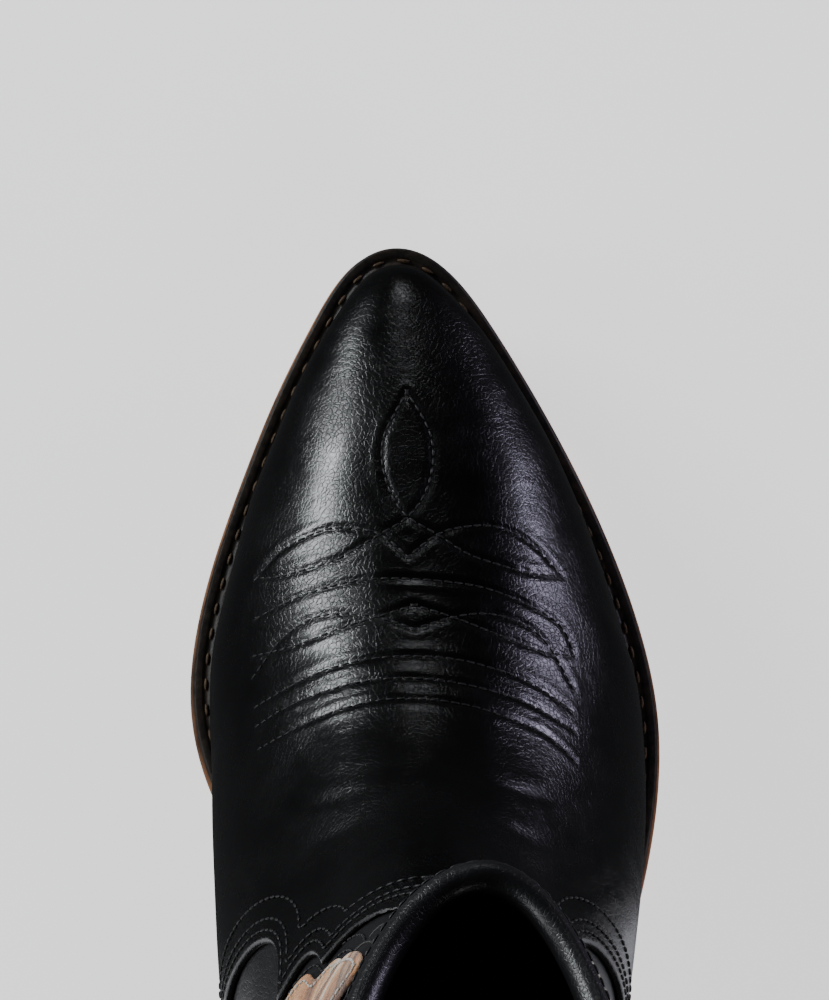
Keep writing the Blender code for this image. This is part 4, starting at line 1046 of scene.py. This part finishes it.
def leather_finish(name, tone, gloss, grain, relief):
    """Black leather with a cracked, pebbled grain of the given size in millimetres, polished unevenly."""
    made, tree, shader, node, coordinates = look(name, tone, gloss)
    wander = node("TexNoise", [(coordinates, "Vector")], Scale=260, Detail=2)
    shift = node("VectorMath", [(wander.outputs["Color"], 0)], operation="SCALE")
    shift.inputs["Scale"].default_value = 0.0016
    warped = node("VectorMath", [(coordinates, 0), (shift.outputs[0], 1)], operation="ADD")
    to_edge = {"feature": "DISTANCE_TO_EDGE"}
    cells = node("TexVoronoi", [(warped.outputs[0], "Vector")], Scale=1000 / grain, **to_edge)
    small_cells = node("TexVoronoi", [(warped.outputs[0], "Vector")], Scale=2300 / grain, **to_edge)
    pebble = ramp(node, cells.outputs["Distance"], (0.0, (0.0,)), (0.13, (1.0,)))
    small_pebble = ramp(node, small_cells.outputs["Distance"], (0.0, (0.0,)), (0.16, (1.0,)))
    wear = node("TexNoise", [(coordinates, "Vector")], Scale=55, Detail=5, Roughness=0.6)
    rough = ramp(node, wear.outputs["Fac"], (0.3, (gloss - 0.04,)), (0.72, (gloss + 0.08,)))
    tree.links.new(rough, shader.inputs["Roughness"])
    amount = ramp(node, wear.outputs["Fac"], (0.35, (0.35,)), (0.65, (1.0,)))
    tree.links.new(ramp(node, wear.outputs["Fac"], (0.3, tone), (0.8, tuple(1.6 * v for v in tone))),
                   shader.inputs["Base Color"])
    fainter = node("Math", [(small_pebble, 0)], operation="MULTIPLY")
    fainter.inputs[1].default_value = 0.2
    both = node("Math", [(pebble, 0), (fainter.outputs[0], 1)], operation="ADD")
    scaled = node("Math", [(both.outputs[0], 0), (amount, 1)], operation="MULTIPLY")
    fine = node("TexNoise", [(coordinates, "Vector")], Scale=1500, Detail=1)
    total = node("Math", [(fine.outputs["Fac"], 0), (scaled.outputs[0], 2)], operation="MULTIPLY_ADD")
    total.inputs[1].default_value = 0.12
    creased = node("Mapping", [(coordinates, "Vector")], Scale=(1, 2.2, 1))
    wrinkles = node("TexNoise", [(creased.outputs[0], "Vector")], Scale=120, Detail=2, Roughness=0.5,
                    Distortion=0.4)
    broad = node("Bump", [(wrinkles.outputs["Fac"], "Height")], Strength=0.3, Distance=0.0003)
    bump = node("Bump", [(total.outputs[0], "Height"), (broad.outputs[0], "Normal")], Strength=relief,
                Distance=0.00007)
    tree.links.new(bump.outputs[0], shader.inputs["Normal"])
    shader.inputs["Specular IOR Level"].default_value = 0.55
    return made


calf = leather_finish("black_calf", (0.0013, 0.0013, 0.0015), 0.25, 1.05, 0.42)
vamp_stations = np.concatenate([
    spread(0, 1.5, 0.6, ridge_line), spread(1.5, 6.1, 1.1, ridge_line)[1:],
    spread(6.1, 11.7, 0.75, ridge_line)[1:], spread(11.7, 18.6, 1.3, ridge_line)[1:]])
rounds_inner = np.concatenate([spread(-1, -0.52, 1.2, girth(9.5)), spread(-0.52, 0, 0.75, girth(9.5))[1:]])
rounds_outer = np.concatenate([spread(0, 0.52, 0.75, girth(9.5)), spread(0.52, 1, 1.2, girth(9.5))[1:]])
vamp_rounds = np.concatenate([rounds_inner, rounds_outer[1:]])
hide_piece("vamp_leather", vamp_stations, vamp_rounds, 0.0, LEATHER, [vamp_region], calf,
           ["vamp"], vamp_relief)

black_thread = thread_finish("black_thread", (0.004, 0.004, 0.005), (0.022, 0.022, 0.023), 0.45)


def thread_rows(rows, depth, relief=None):
    """Rows of (station, around) as points on a layer and ways off it, ready to sew."""
    ready = []
    for station, way_round in rows:
        sunk = depth + (relief(station, way_round) if relief else 0)
        ready.append((upper(station, way_round, sunk), off_surface(station, way_round)))
    return ready


sew("ornament_stitches", thread_rows(ornament_rows, -0.12, vamp_relief), 2.1, 1.75, 0.52, black_thread)
sew("scallop_stitches", thread_rows(scallop_rows, -0.12), 2.4, 2.0, 0.6, black_thread)


# ---------------------------------------------------------------- the counter
# The leather round the heel, cut from the same calf, its top edge stitched down to the shaft with two rows.

counter_top = through([(-12, 121), (4, 118), (24, 106), (44, 94), (66, 82), (88, 66), (108, 48),
                       (118, 38)], 6)
wing = shifted(vamp_top, -GAP - 0.2)
wing_tail = wing[wing[:, 1] < 38]
counter_line = counter_top[counter_top[:, 0] < wing_tail[0][0] - 2]
counter_region = np.concatenate([counter_line, wing_tail, [(104.5, -20), (-40, -20), (-40, 121)]])
counter_stations = spread(12.5, 27, 1.5, lambda s: upper(s, np.full(len(s), -0.99)))
even_rounds = np.concatenate([spread(-1, 0, 1.4, girth(20)), spread(0, 1, 1.4, girth(20))[1:]])
hide_piece("counter_leather", counter_stations, even_rounds, 0.0, LEATHER, [counter_region], calf,
           ["counter"])
counter_rows = []
for outer in (False, True):
    for inset in (2.0, 4.2):
        line = shifted(counter_line[3:], -inset)
        counter_rows.append(from_side(even(line[line[:, 0] > 4], 0.8), outer))
sew("counter_stitches", thread_rows(counter_rows, -0.12), 2.4, 2.0, 0.6, black_thread)


# ---------------------------------------------------------------- the shaft
# Front and back panels of softer black leather, joined by a side seam, under the vamp and the counter.

shaft_leather = leather_finish("black_shaft_leather", (0.008, 0.008, 0.009), 0.36, 1.3, 0.6)
SHAFT_FOOT = [(156, 124), (140, 118), (148, 92), (143, 64), (130, 45), (113, 34.5), (96, 46), (64, 74),
              (24, 94), (-14, 106)]
SIDE_SEAM = through([(70, 40), (62, 86), (55, 130), (51, 180), (48.6, 240), (47.5, 300), (47, 340)], 5)
above_foot = np.array(SHAFT_FOOT + [(-60, 106), (-60, 360), (200, 360), (200, 124)], float)
fore = np.concatenate([shifted(SIDE_SEAM, -GAP / 2), [(200, 340), (200, 40)]])
aft = np.concatenate([shifted(SIDE_SEAM, GAP / 2), [(-60, 340), (-60, 40)]])
shaft_stations = spread(11.5, RIM, 1.7, lambda s: upper(s, np.full(len(s), -0.6)))
hide_piece("shaft_front_leather", shaft_stations, even_rounds, SHAFT_DEPTH, SHAFT_LEATHER,
           [above_foot, fore], shaft_leather, ["shaft_front"])
hide_piece("shaft_back_leather", shaft_stations, even_rounds, SHAFT_DEPTH, SHAFT_LEATHER,
           [above_foot, aft], shaft_leather, ["shaft_back"])


# ---------------------------------------------------------------- the lining
# Soft charcoal leather inside the shaft, cemented to it and sewn in under the binding.

def lining_finish():
    made, tree, shader, node, coordinates = look("lining_leather", (0.07, 0.068, 0.068), 0.7)
    nap = node("TexNoise", [(coordinates, "Vector")], Scale=1500, Detail=4)
    cloud = node("TexNoise", [(coordinates, "Vector")], Scale=70, Detail=4)
    tone = ramp(node, cloud.outputs["Fac"], (0.35, (0.03, 0.028, 0.027)), (0.7, (0.065, 0.06, 0.057)))
    tree.links.new(tone, shader.inputs["Base Color"])
    bump = node("Bump", [(nap.outputs["Fac"], "Height")], Strength=0.4, Distance=0.0002)
    tree.links.new(bump.outputs[0], shader.inputs["Normal"])
    return made


charcoal = lining_finish()
fore_lining = [(156, 118), (118, 92), (103, 20)]
aft_line = np.concatenate([shifted(fore_lining, -GAP), [(102.5, -20), (-60, -20), (-60, 360), (156, 360)]])
front_of_seam = np.concatenate([[(72, -20)], shifted(SIDE_SEAM, -GAP / 2), [(200, 340), (200, -20)]])
behind_seam = np.concatenate([[(71.4, -20)], shifted(SIDE_SEAM, GAP / 2), [(-60, 340), (-60, -20)]])
lining_stations = spread(12.5, RIM, 2.2, lambda s: upper(s, np.full(len(s), -0.6)))
lining_rounds = np.concatenate([spread(-1, 0, 2.0, girth(20)), spread(0, 1, 2.0, girth(20))[1:]])
hide_piece("shaft_lining_front_leather", lining_stations, lining_rounds, LINING_DEPTH, LINING,
           [aft_line, front_of_seam], charcoal, ["shaft_lining_front"])
hide_piece("shaft_lining_back_leather", lining_stations, lining_rounds, LINING_DEPTH, LINING,
           [behind_seam], charcoal, ["shaft_lining_back"])
refinish(["vamp_lining"], charcoal)


# ---------------------------------------------------------------- the inlays
# Four flame-shaped panels of hair-on hide in tan, rust and cream, set into the shaft and edged with rows of
# pale and black thread.

def hair_finish():
    made, tree, shader, node, coordinates = look("hair_on_hide", (0.6, 0.35, 0.17), 0.75)
    drift = node("TexNoise", [(coordinates, "Vector")], Scale=34, Detail=5, Roughness=0.65, Distortion=0.8)
    tone = ramp(node, drift.outputs["Fac"], (0.36, (0.7, 0.6, 0.5)), (0.42, (0.66, 0.35, 0.15)),
                (0.5, (0.5, 0.19, 0.05)), (0.58, (0.1, 0.04, 0.02)), (0.68, (0.62, 0.36, 0.19)))
    combed = node("Mapping", [(coordinates, "Vector")], Scale=(1, 1, 0.16))
    hair = node("TexNoise", [(combed.outputs[0], "Vector")], Scale=2400, Detail=3, Roughness=0.7)
    streak = ramp(node, hair.outputs["Fac"], (0.3, (0.5,)), (0.7, (1.0,)))
    tree.links.new(multiplied(node, tree, tone, streak, 0.8), shader.inputs["Base Color"])
    bump = node("Bump", [(hair.outputs["Fac"], "Height")], Strength=0.7, Distance=0.0003)
    tree.links.new(bump.outputs[0], shader.inputs["Normal"])
    shader.inputs["Sheen Weight"].default_value = 0.25
    return made


hide = hair_finish()
front_flame = through([(104, 85), (114, 86), (120.6, 89.5), (124.2, 94.5), (125.4, 101), (123.6, 108),
                       (125.8, 116), (125, 126), (121.5, 140), (118.5, 158), (116, 184), (114, 212),
                       (112, 240), (106.5, 264), (97, 246), (87, 224), (89, 205), (78, 188), (82, 168),
                       (75, 149), (83, 128), (90, 104), (104, 85)], 5)[:-1]
back_flame = through([(24, 126), (35, 144), (39, 165), (34, 186), (39, 207), (32, 228), (22, 242), (10, 257),
                      (0, 240), (-1, 214), (5, 186), (11, 160), (14, 138), (24, 126)], 5)[:-1]
inlay_stations = spread(13, 29.5, 1.3, lambda s: upper(s, np.full(len(s), -0.6)))
inlay_rounds = {False: spread(-0.99, -0.01, 1.2, girth(20)), True: spread(0.01, 0.99, 1.2, girth(20))}
flame_rows = {"light": [], "dark": []}
for place_name, flame in (("front", front_flame), ("back", back_flame)):
    for side_name, outer in (("inner", False), ("outer", True)):
        stands_for = f"inlay_{place_name}_{side_name}"
        hide_piece(stands_for + "_hide", inlay_stations, inlay_rounds[outer], INLAY_DEPTH, INLAY, [flame],
                   hide, [stands_for], turn=0.4)
        closed = np.concatenate([flame, flame[:1]])
        turned = 1 if inside(flame, shifted(closed, 1.0)[:1])[0] > 0 else -1
        for key, inset in (("light", 1.6), ("dark", -2.2), ("dark", -5.0)):
            line = even(shifted(closed, turned * inset), 0.8)
            flame_rows[key].append(from_side(line, outer))
pale_thread = thread_finish("pale_thread", (0.3, 0.27, 0.24), (0.62, 0.58, 0.52), 0.6)
sew("inlay_pale_stitches", thread_rows(flame_rows["light"], INLAY_DEPTH - 0.12), 2.4, 2.0, 0.6, pale_thread)
sew("inlay_dark_stitches", thread_rows(flame_rows["dark"], SHAFT_DEPTH - 0.12), 2.4, 2.0, 0.6, black_thread)


# ---------------------------------------------------------------- the top binding
# A strip of thin black leather folded over the top edge and stitched through.

BINDING, BINDING_DEEP = 1.0, 6.0
trim = leather_finish("black_trim_leather", (0.009, 0.009, 0.010), 0.34, 0.9, 0.5)


def rim_section(outside, within, low, high, fold):
    """A folded strip's closed section: (depth, rise) points over the edge, fold being its thickness."""
    middle, half = (outside + within) / 2, (within - outside) / 2
    arc = [(middle - half * math.cos(a), high - half * 0.9 + half * 0.9 * math.sin(a))
           for a in np.linspace(0, math.pi, 9)]
    over = [(outside, low)] + arc + [(within, low)]
    half_in = half - fold
    arc_in = [(middle + half_in * math.cos(a), high - half * 0.9 + (half * 0.9 - fold) * math.sin(a))
              for a in np.linspace(0, math.pi, 9)]
    return over + [(within - fold, low)] + arc_in + [(outside + fold, low)]


outside, within = SHAFT_DEPTH - GAP - BINDING, WALL + GAP + BINDING
section = rim_section(outside, within, -BINDING_DEEP, GAP + BINDING, BINDING)
rim_around = np.concatenate([spread(-1, 0, 1.2, girth(RIM)), spread(0, 1, 1.2, girth(RIM))[1:-1]])
edge_points, below_points = upper(RIM, rim_around), upper(RIM - 0.4, rim_around)
rim_up = (edge_points - below_points) / np.linalg.norm(edge_points - below_points, axis=1)[:, None]
rings = np.stack([upper(RIM, rim_around, depth) + rim_up * rise for depth, rise in section], 1)
rows, sides = rings.shape[:2]
faces = bands(rows, sides, joined=True)
piece("top_binding_leather", rings.reshape(-1, 3), faces, trim, ["top_binding"])
binding_row = upper(RIM, rim_around, outside - 0.12) - rim_up * (BINDING_DEEP - 1.6)
rim_out = off_surface(np.full(rows, RIM - 0.1), rim_around)
round_again = list(range(rows)) + [0]
sew("binding_stitches", [(binding_row[round_again], rim_out[round_again])], 2.6, 2.1, 0.6, black_thread)


# ---------------------------------------------------------------- the pull straps
# A loop of folded leather on each side, sewn to the shaft inside and out, to draw the boot on by.

STRAP_WIDE, STRAP_THICK, STRAP_OUT, STRAP_IN, STRAP_RISE, STRAP_CLEAR = 28.0, 1.6, 45.0, 40.0, 14.0, 0.8


def strap_frames(outer, count):
    """Places on the rim across the strap's width, with their outward and upward ways."""
    low, high = 0.05, 0.95
    spots = []
    for y in 47.5 + STRAP_WIDE * np.linspace(-0.5, 0.5, count):
        a, b = low, high
        for _ in range(30):
            middle = (a + b) / 2
            here = upper(RIM, (1 - middle) * (1 if outer else -1) + (1e-9 if outer else -1e-9))
            a, b = (middle, b) if here[1] < y else (a, middle)
        spots.append((1 - a) * (1 if outer else -1))
    spots = np.array(spots)
    at = upper(RIM, spots)
    up = at - upper(RIM - 0.3, spots)
    up /= np.linalg.norm(up, axis=1)[:, None]
    along = upper(RIM, spots + 0.02) - upper(RIM, spots - 0.02)
    out = np.cross(along, up)
    out /= np.linalg.norm(out, axis=1)[:, None]
    out *= np.sign(((at - np.array([4, 48, 0])) * out)[:, :2].sum(1))[:, None]
    return at, out, up


strap_outside = -(SHAFT_DEPTH - GAP - BINDING) + STRAP_CLEAR + STRAP_THICK / 2
strap_inside = -(WALL + GAP + BINDING) - STRAP_CLEAR - STRAP_THICK / 2
middle = (strap_outside + strap_inside) / 2
arch = np.linspace(0, math.pi, 17)[1:-1]
strap_path = [(strap_outside, u) for u in np.linspace(-STRAP_OUT, STRAP_RISE * 0.5, 26)]
strap_path += [(middle + (strap_outside - middle) * math.cos(a), STRAP_RISE * (0.5 + 0.5 * math.sin(a)))
               for a in arch]
strap_path += [(strap_inside, u) for u in np.linspace(STRAP_RISE * 0.5, -STRAP_IN, 24)]
strap_path = np.array(strap_path)
strap_way = np.gradient(strap_path, axis=0)
strap_way /= np.linalg.norm(strap_way, axis=1)[:, None]
strap_off = np.stack([strap_way[:, 1], -strap_way[:, 0]], 1)
strap_rows = []
for side_name, outer in (("inner", False), ("outer", True)):
    at, out, up = strap_frames(outer, 25)
    half = STRAP_THICK / 2
    columns = len(at)
    edge_share = np.minimum(np.arange(columns), np.arange(columns)[::-1])
    thick = half * np.where(edge_share == 0, 0.55, np.where(edge_share == 1, 0.92, 1.0))
    rings = []
    for (n, u), (dn, du) in zip(strap_path, strap_off):
        face_out = at + out * (n + dn * thick[:, None]) + up * (u + du * thick[:, None])
        face_in = at + out * (n - dn * thick[:, None]) + up * (u - du * thick[:, None])
        rings.append(np.concatenate([face_out, face_in[::-1]]))
    sides = 2 * columns
    faces = bands(len(rings), sides)
    for i in (0, len(rings) - 1):
        for k in range(columns - 1):
            first, last = i * sides + k, (i + 1) * sides - 1 - k
            faces.append((first, first + 1, last - 1, last))
    piece(f"pull_strap_{side_name}_leather", np.concatenate(rings), faces, trim,
          [f"pull_strap_{side_name}"])
    for column in (2, 4, columns - 5, columns - 3):
        over = strap_path + strap_off * (half + 0.1)
        line = np.array([at[column] + out[column] * n + up[column] * u for n, u in over])
        ways = np.array([out[column] * dn + up[column] * du for dn, du in strap_off])
        strap_rows.append((line[1:-1], ways[1:-1]))
sew("strap_stitches", strap_rows, 2.6, 2.1, 0.6, black_thread)


# ---------------------------------------------------------------- the side piping
# A rolled cord of black leather along each side seam, from the counter up to the pull strap.

PIPING_RADIUS = 1.0
for side_name, outer in (("inner", False), ("outer", True)):
    z = np.linspace(92, 300 - STRAP_OUT + 1, 90)
    seam = curve_through([86, 130, 180, 240, 300], [62, 55, 51, 48.6, 47.5])
    station, way_round = from_side(np.column_stack([seam(z), z]), outer)
    away = off_surface(station, way_round)
    line = upper(station, way_round) + away * (PIPING_RADIUS + GAP - SHAFT_DEPTH)
    way = np.gradient(line, axis=0)
    way /= np.linalg.norm(way, axis=1)[:, None]
    across = np.cross(way, away)
    turns = np.linspace(0, 2 * math.pi, 13)[:-1]
    rings = [line + (away * math.cos(t) + across * math.sin(t)) * PIPING_RADIUS for t in turns]
    rings = np.stack(rings, 1)
    rows, sides = rings.shape[:2]
    faces = bands(rows, sides) + ends(rows, sides)
    piece(f"side_piping_{side_name}_leather", rings.reshape(-1, 3), faces, trim,
          [f"side_piping_{side_name}"])


# ---------------------------------------------------------------- inside the boot
# The insole and its sock of grey leather, the cork filler under them, and the stiffeners between upper and
# lining: pasteboard at the toe and heel, canvas between. Only the sock can be seen, through the top; its pale
# grey is partly its own and partly a painted highlight.

def plain_finish(name, dark, light, scale, roughness, rise):
    made, tree, shader, node, coordinates = look(name, light, roughness)
    fleck = node("TexNoise", [(coordinates, "Vector")], Scale=scale, Detail=5)
    tree.links.new(ramp(node, fleck.outputs["Fac"], (0.35, dark), (0.68, light)), shader.inputs["Base Color"])
    bump = node("Bump", [(fleck.outputs["Fac"], "Height")], Strength=0.4, Distance=rise)
    tree.links.new(bump.outputs[0], shader.inputs["Normal"])
    return made


inside_looks = {
    # the sock's pale grey is partly real leather colour and partly a painted highlight, so that it shows as a
    # pale spot through the top
    "sock_liner": plain_finish("sock_leather", (0.2, 0.2, 0.205), (0.34, 0.34, 0.345), 700, 0.62, 0.0002),
    "insole": plain_finish("insole_leather", (0.4, 0.28, 0.17), (0.58, 0.43, 0.28), 300, 0.8, 0.0003),
    "cork_filler": plain_finish("cork", (0.28, 0.15, 0.07), (0.6, 0.4, 0.22), 500, 0.9, 0.0008),
    "toe_box": plain_finish("stiffener_board", (0.42, 0.31, 0.2), (0.6, 0.46, 0.3), 500, 0.85, 0.0003),
    "vamp_backer": plain_finish("backer_canvas", (0.48, 0.44, 0.37), (0.68, 0.64, 0.56), 900, 0.9, 0.0003)}
inside_looks["heel_stiffener"] = inside_looks["toe_box"]
for name, finish in inside_looks.items():
    refinish([name], finish)

bpy.context.view_layer.update()
